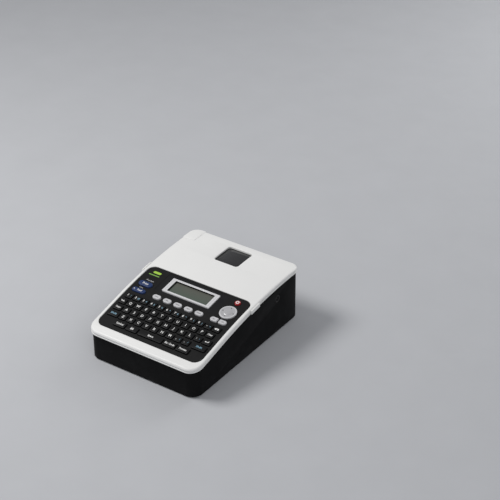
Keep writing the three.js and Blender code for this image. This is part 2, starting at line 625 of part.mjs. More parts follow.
// Battery bay
function batteryBay() {
  const outerX = TRAY_HALF_WIDTH;
  let tray = solid(block(-outerX, outerX, TRAY_FRONT, TRAY_REAR, TRAY_BOTTOM, TRAY_TOP));
  const innerX = outerX - TRAY_WALL;
  const hollow = block(-innerX, innerX, TRAY_FRONT + TRAY_WALL, TRAY_REAR - TRAY_WALL, 0, TRAY_ROOF);
  tray = tray.subtract(solid(hollow));
  for (const place of [idlerPlace, transferPlace]) {
    tray = tray.add(solid(post(place, SHAFT_RADIUS, TRAY_ROOF + 0.5, DECK_BOTTOM - GAP)));
  }
  add("battery_tray", geometryOf(tray), BLACK, 0.6, 0);

  const plateX = innerX - GAP;
  const cells = [TRAY_FRONT + 9.5, (TRAY_FRONT + TRAY_REAR) / 2, TRAY_REAR - 9.5];
  const cellZ = (DOOR_TOP + TRAY_ROOF) / 2;
  for (const side of [-1, 1]) {
    const ends = [side * plateX, side * (plateX - 0.5)].sort((a, b) => a - b);
    let plate = solid(block(ends[0], ends[1], TRAY_FRONT + 3, TRAY_REAR - 3, 6.5, 19.5));
    for (const y of cells) {
      const reach = side < 0 ? 3.5 : 1.4;
      const cone = new THREE.CylinderGeometry(side < 0 ? 2 : 1.8, side < 0 ? 3.6 : 2.4, reach + 0.2, 10);
      cone.rotateZ(side * Math.PI / 2).translate(side * (plateX - 0.3 - reach / 2), y, cellZ);
      plate = plate.add(solid(cone));
    }
    const name = side < 0 ? "battery_spring_plate" : "battery_contact_plate";
    add(name, geometryOf(plate), STEEL, 0.3, 0.9);
  }

  const doorX = DOOR_HALF_WIDTH;
  const floorTop = FOOT_HEIGHT + FLOOR;
  const doorRear = BODY_REAR - BASE_REAR_INSET;
  const flangeX = doorX + DOOR_FLANGE_REACH;
  const plate = solid(block(-doorX, doorX, DOOR_FRONT, doorRear, FOOT_HEIGHT, floorTop + 0.5));
  const flange = solid(block(-flangeX, flangeX, DOOR_FRONT, doorRear, floorTop + GAP, DOOR_TOP));
  const thumbRecess = solid(block(-9, 9, DOOR_FRONT + 4, DOOR_FRONT + 12, 0, FOOT_HEIGHT + 0.8));
  add("battery_door", geometryOf(plate.add(flange).subtract(thumbRecess)), BLACK, 0.5, 0);
}

// Gears: straight-sided teeth of module 1 mm, turned so that each pair meshes
function gearShape(teeth, phase, bore) {
  const pitchRadius = teeth / 2;
  const pitchAngle = Math.PI * 2 / teeth;
  const root = pitchRadius - GEAR_DEDENDUM;
  const tip = pitchRadius + GEAR_ADDENDUM;
  const corners = [[-0.29, root], [-0.12, tip], [0.12, tip], [0.29, root]];
  const shape = new THREE.Shape();
  for (let tooth = 0; tooth < teeth; tooth += 1) {
    for (const [offset, radius] of corners) {
      const angle = phase + (tooth + offset) * pitchAngle;
      const x = radius * Math.cos(angle);
      const y = radius * Math.sin(angle);
      if (tooth === 0 && offset === corners[0][0]) shape.moveTo(x, y);
      else shape.lineTo(x, y);
    }
  }
  shape.closePath();
  if (bore > 0) {
    const hole = new THREE.Path();
    hole.absarc(0, 0, bore, 0, Math.PI * 2, true);
    shape.holes.push(hole);
  }
  return shape;
}

// Where a gear of radius b sits when it meshes with two gears that stand apart
function meshBetween(first, firstReach, second, secondReach, side) {
  const apart = first.distanceTo(second);
  const along = (apart ** 2 + firstReach ** 2 - secondReach ** 2) / (2 * apart);
  const off = side * Math.sqrt(firstReach ** 2 - along ** 2);
  const way = second.clone().sub(first).normalize();
  return first.clone().addScaledVector(way, along).add(new THREE.Vector2(-way.y, way.x).multiplyScalar(off));
}

// Phase that puts a gap of the second gear on a tooth of the first
function meshPhase(place, teeth, phase, nextPlace, nextTeeth) {
  const line = nextPlace.clone().sub(place).angle();
  const pitchesPast = (line - phase) * teeth / (Math.PI * 2);
  return line + Math.PI + (pitchesPast + 0.5) * Math.PI * 2 / nextTeeth;
}

const idlerPlace = meshBetween(
  MOTOR_PLACE, (PINION_TEETH + IDLER_TEETH) / 2,
  PLATEN_PLACE, (PLATEN_TEETH + IDLER_TEETH) / 2, -1,
);
const transferPlace = meshBetween(
  idlerPlace, (IDLER_TEETH + TRANSFER_TEETH) / 2,
  RIBBON_PLACE, (RIBBON_TEETH + TRANSFER_TEETH) / 2, -1,
);

function gear(name, place, teeth, phase, bore, color) {
  const geometry = prism(gearShape(teeth, phase, bore), 0, GEAR_TOP - GEAR_BOTTOM, 8);
  const mesh = add(name, geometry, color, 0.5, 0);
  mesh.position.set(place.x, place.y, GEAR_BOTTOM);
  return mesh;
}

function gearTrain() {
  const nylon = 0xd9d5c8;
  const pinionPhase = 0;
  const idlerPhase = meshPhase(MOTOR_PLACE, PINION_TEETH, pinionPhase, idlerPlace, IDLER_TEETH);
  const transferPhase = meshPhase(idlerPlace, IDLER_TEETH, idlerPhase, transferPlace, TRANSFER_TEETH);
  const ribbonPhase = meshPhase(transferPlace, TRANSFER_TEETH, transferPhase, RIBBON_PLACE, RIBBON_TEETH);
  const platenPhase = meshPhase(idlerPlace, IDLER_TEETH, idlerPhase, PLATEN_PLACE, PLATEN_TEETH);
  gear("idler_gear", idlerPlace, IDLER_TEETH, idlerPhase, SHAFT_BORE, nylon);
  gear("transfer_gear", transferPlace, TRANSFER_TEETH, transferPhase, SHAFT_BORE, nylon);
  gear("ribbon_gear", RIBBON_PLACE, RIBBON_TEETH, ribbonPhase, SPINDLE_RADIUS + 0.1, nylon);
  gear("platen_gear", PLATEN_PLACE, PLATEN_TEETH, platenPhase, SHAFT_BORE, nylon);

  const pinion = solid(prism(gearShape(PINION_TEETH, pinionPhase, 0), GEAR_BOTTOM, GEAR_TOP));
  const shaft = solid(post(new THREE.Vector2(), 1, GEAR_BOTTOM, DECK_TOP, 10));
  const pinionMesh = add("motor_pinion", geometryOf(pinion.add(shaft)), 0xb08d57, 0.35, 0.9);
  pinionMesh.position.set(MOTOR_PLACE.x, MOTOR_PLACE.y, 0);
}

function printMechanism() {
  // Cassette bay with its side deck
  let bay = solid(block(DECK_LEFT, BAY_RIGHT, BAY_FRONT, BAY_REAR, DECK_BOTTOM, DECK_TOP));
  const walls = solid(block(BAY_LEFT, BAY_RIGHT, BAY_FRONT, BAY_REAR, DECK_BOTTOM, BAY_TOP));
  const hollow = block(
    BAY_LEFT + BAY_WALL, BAY_RIGHT - BAY_WALL,
    BAY_FRONT + BAY_WALL, BAY_REAR - BAY_WALL, DECK_TOP, FAR,
  );
  bay = bay.add(walls).subtract(solid(hollow));
  bay = bay.subtract(solid(block(DECK_LEFT - 1, DECK_LEFT + 4, BAY_REAR - 6, FAR, 0, FAR)));
  bay = bay.subtract(solid(post(MOTOR_PLACE, SHAFT_RADIUS, 0, DECK_TOP + 1)));
  bay = bay.subtract(solid(post(RIBBON_PLACE, SPINDLE_RADIUS + 0.2, 0, DECK_TOP + 1, 16)));
  const shaftRoom = new THREE.Vector2(PLATEN_PLACE.x, PLATEN_PLACE.y + HOLDER_TRAVEL / 2);
  bay = bay.subtract(solid(post(shaftRoom, SHAFT_RADIUS + HOLDER_TRAVEL / 2 + GAP, 0, DECK_TOP + 1, 16)));
  for (const place of GUIDE_PLACES) {
    bay = bay.add(solid(post(place, SHAFT_RADIUS, DECK_TOP - 0.5, BAY_TOP)));
  }
  add("cassette_bay", geometryOf(bay), 0x1a1b1d, 0.6, 0);

  const can = solid(post(MOTOR_PLACE, 9, DECK_TOP + GAP, 46, 20));
  const flats = solid(block(-FAR, FAR, MOTOR_PLACE.y - 7.5, MOTOR_PLACE.y + 7.5, 0, FAR));
  add("motor", geometryOf(can.intersect(flats)), STEEL, 0.35, 0.9);

  const headFace = TAPE_Y - 0.6;
  add("print_head", block(-53, -43, headFace - 1.2, headFace, 28, 47), 0xe8e0cc, 0.3, 0);
  const sinkFace = headFace - 1.2 - GAP;
  const finRoot = solid(block(-54, -42, sinkFace - 1.6, sinkFace, DECK_TOP + GAP, 49));
  const foot = solid(block(-54, -42, sinkFace - 7, sinkFace - 1, DECK_TOP + GAP, DECK_TOP + 1.5));
  add("heat_sink", geometryOf(finRoot.add(foot)), 0xa8adb2, 0.35, 0.9);

  // Roller holder, which slides back from the print head on two guide posts
  const lowerPlate = [DECK_TOP + 0.4, DECK_TOP + 1.6];
  const upperPlate = [BAY_TOP - 2, BAY_TOP - 0.6];
  const [holderLeft, holderRight, holderFront, holderRear] = [-59.5, -36.2, 70.5, 85.3];
  let holder = solid(block(holderLeft, -43, 79.2, 81, lowerPlate[0], upperPlate[1]));
  for (const [bottom, top] of [lowerPlate, upperPlate]) {
    holder = holder.add(solid(block(holderLeft, holderRight, holderFront, holderRear, bottom, top)));
  }
  for (const place of [PLATEN_PLACE, FEED_PLACE]) {
    holder = holder.subtract(solid(post(place, SHAFT_BORE, 0, FAR)));
  }
  for (const place of GUIDE_PLACES) {
    const slot = roundedRect(
      place.x - SHAFT_BORE, place.x + SHAFT_BORE,
      place.y - SHAFT_BORE - HOLDER_TRAVEL, place.y + SHAFT_BORE, SHAFT_BORE * 0.99, SHAFT_BORE * 0.99,
    );
    holder = holder.subtract(solid(prism(slot, 0, FAR)));
  }
  add("roller_holder", geometryOf(holder), 0x2a2c30, 0.5, 0);

  const platen = solid(post(PLATEN_PLACE, SHAFT_RADIUS, GEAR_BOTTOM, BAY_TOP));
  const sleeve = solid(post(PLATEN_PLACE, PLATEN_RADIUS, 29.5, 46.5, 20));
  add("platen_roller", geometryOf(platen.add(sleeve)), 0x33363a, 0.8, 0);
  const feed = solid(post(FEED_PLACE, SHAFT_RADIUS, lowerPlate[0], BAY_TOP));
  const feedSleeve = solid(post(FEED_PLACE, FEED_RADIUS, 29.5, 46.5, 16));
  add("feed_roller", geometryOf(feed.add(feedSleeve)), 0x33363a, 0.8, 0);

  let spindle = solid(post(RIBBON_PLACE, SPINDLE_RADIUS, GEAR_BOTTOM, 44));
  for (const turn of [0, 1, 2]) {
    const rib = block(-3.6, 3.6, -0.5, 0.5, DECK_TOP + 1, 42);
    rib.rotateZ(turn * Math.PI / 3).translate(RIBBON_PLACE.x, RIBBON_PLACE.y, 0);
    spindle = spindle.add(solid(rib));
  }
  add("ribbon_spindle", geometryOf(spindle), 0xd9d5c8, 0.5, 0);

  const edge = new THREE.Shape();
  edge.moveTo(70, 28);
  edge.lineTo(84, 28);
  edge.lineTo(84, 47.5);
  edge.lineTo(72.5, 47.5);
  edge.closePath();
  const turned = new THREE.Matrix4().set(0, 0, 1, BLADE_LEFT, 1, 0, 0, 0, 0, 1, 0, 0, 0, 0, 0, 1);
  add("cutter_blade", prism(edge, 0, BLADE_THICKNESS).applyMatrix4(turned), STEEL, 0.25, 1);
}

function feetAndScrews() {
  FOOT_PLACES.forEach(([x, y], index) => {
    const foot = post(new THREE.Vector2(), FOOT_RADIUS, 0, FOOT_HEIGHT + FOOT_SEAT - GAP, 16);
    const mesh = add(`rubber_foot_${index + 1}`, geometryOf(solid(foot)), 0x1b1b1c, 0.9, 0);
    mesh.position.set(x, y, 0);
  });
  POST_PLACES.forEach(([x, y], index) => {
    const headTop = FOOT_HEIGHT + SCREW_HEAD_DEPTH - GAP;
    const head = solid(post(new THREE.Vector2(), SCREW_HEAD_RADIUS, FOOT_HEIGHT + 0.1, headTop));
    const shank = solid(post(new THREE.Vector2(), SCREW_RADIUS, FOOT_HEIGHT + 0.4, SCREW_LENGTH));
    const slot = solid(block(-1.8, 1.8, -0.35, 0.35, 0, FOOT_HEIGHT + 0.6));
    const screw = geometryOf(head.add(shank).subtract(slot));
    const mesh = add(`case_screw_${index + 1}`, screw, STEEL, 0.3, 1);
    mesh.position.set(x, y, 0);
  });
}

baseCase();
topCase();
cassetteLid();
cutterButton();
keyboardPanel();
display();
for (const [name, row] of Object.entries(LETTER_ROWS)) letterRow(name, row);
for (const [name, key] of Object.entries(SINGLE_KEYS)) singleKey(name, key);
navigationPad();
electronics();
batteryBay();
gearTrain();
printMechanism();
feetAndScrews();

export default labelMaker;
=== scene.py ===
import json
import math

import bmesh
import bpy
from mathutils import Matrix, Vector

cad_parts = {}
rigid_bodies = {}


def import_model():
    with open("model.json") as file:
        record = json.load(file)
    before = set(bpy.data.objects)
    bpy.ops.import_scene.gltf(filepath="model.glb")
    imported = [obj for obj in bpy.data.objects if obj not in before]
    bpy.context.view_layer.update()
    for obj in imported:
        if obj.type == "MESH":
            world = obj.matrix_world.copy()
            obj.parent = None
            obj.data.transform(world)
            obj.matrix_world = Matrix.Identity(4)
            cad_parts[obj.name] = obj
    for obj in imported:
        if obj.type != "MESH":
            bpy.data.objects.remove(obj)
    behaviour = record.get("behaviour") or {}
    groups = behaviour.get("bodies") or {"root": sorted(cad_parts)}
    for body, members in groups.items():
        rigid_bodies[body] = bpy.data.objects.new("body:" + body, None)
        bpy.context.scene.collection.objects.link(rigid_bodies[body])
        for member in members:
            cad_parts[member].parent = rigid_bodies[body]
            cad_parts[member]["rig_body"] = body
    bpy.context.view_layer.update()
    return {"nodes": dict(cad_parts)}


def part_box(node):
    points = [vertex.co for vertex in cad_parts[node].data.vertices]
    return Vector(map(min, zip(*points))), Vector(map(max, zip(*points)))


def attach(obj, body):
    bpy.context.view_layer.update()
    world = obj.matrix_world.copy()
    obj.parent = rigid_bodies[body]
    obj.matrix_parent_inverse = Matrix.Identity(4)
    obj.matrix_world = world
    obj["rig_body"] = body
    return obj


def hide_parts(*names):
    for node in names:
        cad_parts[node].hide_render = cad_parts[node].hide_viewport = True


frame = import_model()
nodes = frame["nodes"]
mm = 0.001
print("frame loaded,", len(nodes), "nodes")


# The top surface: a straight slope under the keyboard, then one arc up to a level crest
bodyShape = {
    "slope": math.radians(13.5),
    "slopeLength": 38 * mm,
    "crownRadius": 510 * mm,
}
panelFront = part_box("keyboard_panel")[0].y
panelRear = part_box("keyboard_panel")[1].y
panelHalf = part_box("keyboard_panel")[1].x
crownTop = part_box("cassette_lid")[1].z
arcStart = panelFront + bodyShape["slopeLength"]
crest = arcStart + bodyShape["crownRadius"] * math.sin(bodyShape["slope"])


def topZ(y):
    radius = bodyShape["crownRadius"]
    if y >= crest:
        return crownTop
    if y < arcStart:
        return topZ(arcStart) - (arcStart - y) * math.tan(bodyShape["slope"])
    return crownTop - radius + math.sqrt(radius ** 2 - (crest - y) ** 2)


def topTilt(y):
    across = min(max(crest - y, 0), crest - arcStart)
    return math.asin(across / bodyShape["crownRadius"])


def onTop(x, panelY):  # panelY is counted back from the panel's front edge
    y = panelFront + panelY
    return Matrix.Translation((x, y, topZ(y))) @ Matrix.Rotation(topTilt(y), 4, "X")


# Shader node groups

def addNode(tree, kind, place, **settings):
    node = tree.nodes.new(kind)
    node.location = place
    for key, value in settings.items():
        setattr(node, key, value)
    return node


def newGroup(name, inputs, outputs):
    tree = bpy.data.node_groups.new(name, "ShaderNodeTree")
    for label, value in inputs:
        socket = tree.interface.new_socket(label, in_out="INPUT", socket_type="NodeSocketFloat")
        socket.default_value = value
    for label in outputs:
        tree.interface.new_socket(label, in_out="OUTPUT", socket_type="NodeSocketFloat")
    start = addNode(tree, "NodeGroupInput", (-900, 0))
    end = addNode(tree, "NodeGroupOutput", (700, 0))
    return tree, start, end


def mouldGrainGroup():  # fine spark-eroded texture and broad, faint unevenness
    sizes = [("Grain Size", 2200.0), ("Patch Size", 22.0)]
    tree, start, end = newGroup("Mould grain", sizes, ["Height", "Patch"])
    coords = addNode(tree, "ShaderNodeTexCoord", (-900, 300))
    fine = addNode(tree, "ShaderNodeTexNoise", (-500, 300))
    fine.inputs["Detail"].default_value = 3.0
    fine.inputs["Roughness"].default_value = 0.65
    cells = addNode(tree, "ShaderNodeTexVoronoi", (-500, 0), feature="SMOOTH_F1")
    cells.inputs["Smoothness"].default_value = 0.6
    broad = addNode(tree, "ShaderNodeTexNoise", (-500, -300))
    broad.inputs["Detail"].default_value = 4.0
    both = addNode(tree, "ShaderNodeMath", (-150, 200), operation="MULTIPLY_ADD")
    both.inputs[1].default_value = 0.6
    for texture in (fine, cells, broad):
        tree.links.new(coords.outputs["Object"], texture.inputs["Vector"])
    tree.links.new(start.outputs["Grain Size"], fine.inputs["Scale"])
    tree.links.new(start.outputs["Grain Size"], cells.inputs["Scale"])
    tree.links.new(start.outputs["Patch Size"], broad.inputs["Scale"])
    tree.links.new(fine.outputs["Fac"], both.inputs[0])
    tree.links.new(cells.outputs["Distance"], both.inputs[2])
    tree.links.new(both.outputs[0], end.inputs["Height"])
    tree.links.new(broad.outputs["Fac"], end.inputs["Patch"])
    return tree


def edgeScuffShineGroup():  # convex edges lightened: wear and painted edge highlight, broken up so that it is uneven
    tree, start, end = newGroup("Edge scuff and shine", [("Low", 0.52), ("High", 0.62), ("Breakup", 180.0)], ["Mask"])
    shape = addNode(tree, "ShaderNodeNewGeometry", (-700, 250))
    coords = addNode(tree, "ShaderNodeTexCoord", (-900, -200))
    noise = addNode(tree, "ShaderNodeTexNoise", (-650, -200))
    noise.inputs["Detail"].default_value = 5.0
    convex = addNode(tree, "ShaderNodeMapRange", (-350, 250))
    patchy = addNode(tree, "ShaderNodeMapRange", (-350, -150))
    patchy.inputs["From Min"].default_value = 0.3
    patchy.inputs["From Max"].default_value = 0.6
    product = addNode(tree, "ShaderNodeMath", (50, 100), operation="MULTIPLY", use_clamp=True)
    tree.links.new(shape.outputs["Pointiness"], convex.inputs["Value"])
    tree.links.new(start.outputs["Low"], convex.inputs["From Min"])
    tree.links.new(start.outputs["High"], convex.inputs["From Max"])
    tree.links.new(coords.outputs["Object"], noise.inputs["Vector"])
    tree.links.new(start.outputs["Breakup"], noise.inputs["Scale"])
    tree.links.new(noise.outputs["Fac"], patchy.inputs["Value"])
    tree.links.new(convex.outputs["Result"], product.inputs[0])
    tree.links.new(patchy.outputs["Result"], product.inputs[1])
    tree.links.new(product.outputs[0], end.inputs["Mask"])
    return tree


def handlingGroup():  # skin grease and dust that settle on upward faces
    tree, start, end = newGroup("Handling", [("Smudge Size", 45.0), ("Upward", 0.6)], ["Smudge", "Dust"])
    coords = addNode(tree, "ShaderNodeTexCoord", (-900, 100))
    smear = addNode(tree, "ShaderNodeTexNoise", (-600, 250))
    smear.inputs["Detail"].default_value = 6.0
    smear.inputs["Distortion"].default_value = 0.8
    smudge = addNode(tree, "ShaderNodeMapRange", (-250, 250))
    smudge.inputs["From Min"].default_value = 0.42
    smudge.inputs["From Max"].default_value = 0.68
    specks = addNode(tree, "ShaderNodeTexNoise", (-600, -50))
    specks.inputs["Scale"].default_value = 900.0
    specks.inputs["Detail"].default_value = 2.0
    speckMask = addNode(tree, "ShaderNodeMapRange", (-250, -50))
    speckMask.inputs["From Min"].default_value = 0.55
    speckMask.inputs["From Max"].default_value = 0.75
    shape = addNode(tree, "ShaderNodeNewGeometry", (-900, -400))
    split = addNode(tree, "ShaderNodeSeparateXYZ", (-650, -400))
    upward = addNode(tree, "ShaderNodeMath", (-350, -400), operation="GREATER_THAN")
    dust = addNode(tree, "ShaderNodeMath", (50, -200), operation="MULTIPLY", use_clamp=True)
    tree.links.new(coords.outputs["Object"], smear.inputs["Vector"])
    tree.links.new(coords.outputs["Object"], specks.inputs["Vector"])
    tree.links.new(start.outputs["Smudge Size"], smear.inputs["Scale"])
    tree.links.new(smear.outputs["Fac"], smudge.inputs["Value"])
    tree.links.new(specks.outputs["Fac"], speckMask.inputs["Value"])
    tree.links.new(shape.outputs["Normal"], split.inputs["Vector"])
    tree.links.new(split.outputs["Z"], upward.inputs[0])
    tree.links.new(start.outputs["Upward"], upward.inputs[1])
    tree.links.new(speckMask.outputs["Result"], dust.inputs[0])
    tree.links.new(upward.outputs[0], dust.inputs[1])
    tree.links.new(smudge.outputs["Result"], end.inputs["Smudge"])
    tree.links.new(dust.outputs[0], end.inputs["Dust"])
    return tree


grainTree = mouldGrainGroup()
edgeScuffShineTree = edgeScuffShineGroup()
handlingTree = handlingGroup()
print("node groups made")


def placeGroup(tree, group, place, **values):
    node = addNode(tree, "ShaderNodeGroup", place, node_tree=group)
    for label, value in values.items():
        node.inputs[label.replace("_", " ")].default_value = value
    return node


def mixColors(tree, factor, first, second, place, strength=1.0):
    mix = addNode(tree, "ShaderNodeMix", place, data_type="RGBA")
    scale = addNode(tree, "ShaderNodeMath", (place[0] - 200, place[1]), operation="MULTIPLY")
    scale.inputs[1].default_value = strength
    tree.links.new(factor, scale.inputs[0])
    tree.links.new(scale.outputs[0], mix.inputs["Factor"])
    for value, socket in ((first, mix.inputs["A"]), (second, mix.inputs["B"])):
        if isinstance(value, tuple):
            socket.default_value = (*value, 1.0)
        else:
            tree.links.new(value, socket)
    return mix.outputs["Result"]


def shade(color, amount):
    return tuple(min(channel * amount, 1.0) for channel in color)


def moulded(name, color, roughness, grain=2200.0, bump=0.12, scuffAndShine=0.2, edge=1.5, coat=0.0, metallic=0.0,
            spread=0.06, dusty=0.05, broad=0.93, specular=0.5):
    material = bpy.data.materials.new(name)
    material.use_nodes = True
    tree = material.node_tree
    shader = tree.nodes["Principled BSDF"]
    shader.inputs["Coat Weight"].default_value = coat
    shader.inputs["Coat Roughness"].default_value = 0.12
    shader.inputs["Metallic"].default_value = metallic
    shader.inputs["Specular IOR Level"].default_value = specular
    grainNode = placeGroup(tree, grainTree, (-1300, 200), Grain_Size=grain)
    edgeScuffShineNode = placeGroup(tree, edgeScuffShineTree, (-1300, -100))
    handNode = placeGroup(tree, handlingTree, (-1300, -350))
    base = mixColors(tree, grainNode.outputs["Patch"], color, shade(color, broad), (-850, 300))
    # lighter convex edges: wear and painted highlight along the edges
    scuffedAndShining = mixColors(tree, edgeScuffShineNode.outputs["Mask"], base, shade(color, edge), (-600, 300), scuffAndShine)
    dusted = mixColors(tree, handNode.outputs["Dust"], scuffedAndShining, (0.45, 0.44, 0.42), (-350, 300), dusty)
    tree.links.new(dusted, shader.inputs["Base Color"])
    gloss = addNode(tree, "ShaderNodeMapRange", (-600, -200))
    gloss.inputs["To Min"].default_value = roughness + spread
    gloss.inputs["To Max"].default_value = max(roughness - spread, 0.02)
    tree.links.new(handNode.outputs["Smudge"], gloss.inputs["Value"])
    tree.links.new(gloss.outputs["Result"], shader.inputs["Roughness"])
    relief = addNode(tree, "ShaderNodeBump", (-300, -450))
    relief.inputs["Strength"].default_value = bump
    relief.inputs["Distance"].default_value = 0.05 * mm
    tree.links.new(grainNode.outputs["Height"], relief.inputs["Height"])
    tree.links.new(relief.outputs["Normal"], shader.inputs["Normal"])
    return material


def brushed(name, color, roughness, along=(40.0, 2500.0, 2500.0), bump=0.15):
    material = bpy.data.materials.new(name)
    material.use_nodes = True
    tree = material.node_tree
    shader = tree.nodes["Principled BSDF"]
    shader.inputs["Metallic"].default_value = 1.0
    coords = addNode(tree, "ShaderNodeTexCoord", (-1300, 0))
    stretch = addNode(tree, "ShaderNodeMapping", (-1100, 0))
    stretch.inputs["Scale"].default_value = along
    lines = addNode(tree, "ShaderNodeTexNoise", (-900, 0))
    lines.inputs["Scale"].default_value = 1.0
    lines.inputs["Detail"].default_value = 4.0
    edgeScuffShineNode = placeGroup(tree, edgeScuffShineTree, (-900, -300))
    tree.links.new(coords.outputs["Object"], stretch.inputs["Vector"])
    tree.links.new(stretch.outputs["Vector"], lines.inputs["Vector"])
    base = mixColors(tree, lines.outputs["Fac"], color, shade(color, 0.8), (-500, 250))
    # lighter convex edges: wear and painted highlight along the edges
    scuffedAndShining = mixColors(tree, edgeScuffShineNode.outputs["Mask"], base, shade(color, 1.25), (-250, 250), 0.5)
    tree.links.new(scuffedAndShining, shader.inputs["Base Color"])
    gloss = addNode(tree, "ShaderNodeMapRange", (-500, -100))
    gloss.inputs["To Min"].default_value = roughness * 0.75
    gloss.inputs["To Max"].default_value = roughness * 1.3
    tree.links.new(lines.outputs["Fac"], gloss.inputs["Value"])
    tree.links.new(gloss.outputs["Result"], shader.inputs["Roughness"])
    relief = addNode(tree, "ShaderNodeBump", (-250, -350))
    relief.inputs["Strength"].default_value = bump
    relief.inputs["Distance"].default_value = 0.02 * mm
    tree.links.new(lines.outputs["Fac"], relief.inputs["Height"])
    tree.links.new(relief.outputs["Normal"], shader.inputs["Normal"])
    return material


# edge sets how much lighter convex edges are painted: wear and painted highlight
finishes = {
    "coverWhite": moulded("Cover white", (0.80, 0.80, 0.785), 0.42,
                          bump=0.10, scuffAndShine=0.25, edge=1.06, broad=0.97, dusty=0.02),
    "baseBlack": moulded("Base black", (0.0030, 0.0030, 0.0033), 0.6,
                         grain=1500.0, bump=0.25, scuffAndShine=0.3, edge=4.0, specular=0.12, dusty=0.012),
    "panelCharcoal": moulded("Panel charcoal", (0.0105, 0.0105, 0.0105), 0.5,
                             grain=1700.0, bump=0.2, scuffAndShine=0.2, edge=2.5, specular=0.13, dusty=0.01),
    "panelGloss": moulded("Panel gloss", (0.0060, 0.0062, 0.0070), 0.4,
                          bump=0.03, scuffAndShine=0.1, edge=2.0, specular=0.25, dusty=0.01),
    "keyRubber": moulded("Key rubber", (0.0040, 0.0040, 0.0042), 0.45,
                         bump=0.1, scuffAndShine=0.2, edge=3.0, dusty=0.005, specular=0.2),
    "legendWhite": moulded("Legend white", (0.82, 0.82, 0.80), 0.5, bump=0.02, scuffAndShine=0.0, dusty=0.0),
    "legendBlue": moulded("Legend blue", (0.20, 0.36, 0.46), 0.5, bump=0.02, scuffAndShine=0.0, dusty=0.0),
    "legendGrey": moulded("Legend grey", (0.16, 0.16, 0.17), 0.5, bump=0.02, scuffAndShine=0.0, dusty=0.0),
    "legendDark": moulded("Legend dark", (0.05, 0.05, 0.055), 0.5, bump=0.02, scuffAndShine=0.0, dusty=0.0),
    "captionGrey": moulded("Caption grey", (0.50, 0.50, 0.50), 0.5, bump=0.02, scuffAndShine=0.0, dusty=0.0),
    "markLime": moulded("Mark lime", (0.36, 0.60, 0.06), 0.45, bump=0.02, scuffAndShine=0.0, dusty=0.0),
    "markGreen": moulded("Mark green", (0.21, 0.43, 0.08), 0.45, bump=0.02, scuffAndShine=0.0, dusty=0.0),
    "keySilver": moulded("Key silver", (0.56, 0.56, 0.57), 0.4, bump=0.06, scuffAndShine=0.3, edge=1.2),
    "padSilver": moulded("Pad silver", (0.43, 0.43, 0.44), 0.3, bump=0.05, scuffAndShine=0.3, edge=1.3, coat=0.25),
    "keyBlue": moulded("Key blue", (0.016, 0.037, 0.120), 0.5,
                       bump=0.08, scuffAndShine=0.2, edge=1.6, specular=0.25),
    "keyRed": moulded("Key red", (0.40, 0.010, 0.014), 0.28, bump=0.03, scuffAndShine=0.2, edge=1.6, coat=0.5),
    "bezelSilver": moulded("Bezel silver", (0.66, 0.66, 0.67), 0.36,
                           bump=0.05, scuffAndShine=0.2, edge=1.2, coat=0.2),
    "smokedPane": moulded("Smoked pane", (0.006, 0.006, 0.0065), 0.16,
                          bump=0.01, scuffAndShine=0.1, edge=2.0, coat=0.8),
    "innerBlack": moulded("Inner black", (0.010, 0.010, 0.011), 0.6,
                          grain=1300.0, bump=0.3, scuffAndShine=0.3, edge=3.0, dusty=0.1),
    "footRubber": moulded("Foot rubber", (0.012, 0.012, 0.012), 0.85,
                          grain=900.0, bump=0.4, scuffAndShine=0.3, edge=3.0, dusty=0.2),
    "rollerRubber": moulded("Roller rubber", (0.020, 0.020, 0.021), 0.75,
                            grain=1200.0, bump=0.3, scuffAndShine=0.2, edge=2.0, dusty=0.12),
    "siliconeGrey": moulded("Silicone grey", (0.20, 0.20, 0.21), 0.65, bump=0.1),
    "boardGreen": moulded("Board green", (0.010, 0.10, 0.035), 0.38, bump=0.08, scuffAndShine=0.1, coat=0.4),
    "nylonCream": moulded("Nylon cream", (0.62, 0.58, 0.48), 0.5, bump=0.08, scuffAndShine=0.3, edge=1.2),
    "headCeramic": moulded("Head ceramic", (0.60, 0.56, 0.45), 0.22,
                           bump=0.03, scuffAndShine=0.2, edge=1.1, coat=0.5),
    "steelBright": brushed("Steel bright", (0.56, 0.57, 0.58), 0.3),
    "aluminiumBare": brushed("Aluminium bare", (0.60, 0.61, 0.62), 0.38),
    "brassTurned": brushed("Brass turned", (0.60, 0.42, 0.15), 0.3, along=(2500.0, 2500.0, 60.0)),
}


def displayGlass():  # display film, greener at the front and browner towards the back: the change is painted shading across the screen
    nearFilmAndShade, farFilmAndShade = (0.070, 0.096, 0.074), (0.096, 0.094, 0.078)
    material = moulded("Display glass", nearFilmAndShade, 0.24, bump=0.01, scuffAndShine=0.0, coat=0.7, dusty=0.02)
    tree = material.node_tree
    shader = tree.nodes["Principled BSDF"]
    was = shader.inputs["Base Color"].links[0].from_socket
    coords = addNode(tree, "ShaderNodeTexCoord", (-1300, 700))
    split = addNode(tree, "ShaderNodeSeparateXYZ", (-1100, 700))
    ramp = addNode(tree, "ShaderNodeMapRange", (-900, 700))
    low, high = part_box("lcd_lens")
    ramp.inputs["From Min"].default_value = low.y
    ramp.inputs["From Max"].default_value = high.y
    tree.links.new(coords.outputs["Object"], split.inputs["Vector"])
    tree.links.new(split.outputs["Y"], ramp.inputs["Value"])
    # film colour with painted front-to-back shading mixed in
    filmAndShade = mixColors(tree, ramp.outputs["Result"], was, farFilmAndShade, (-100, 650), 0.9)
    tree.links.new(filmAndShade, shader.inputs["Base Color"])
    return material


finishes["displayGlass"] = displayGlass()
print("materials made:", len(finishes))


# Mesh helpers

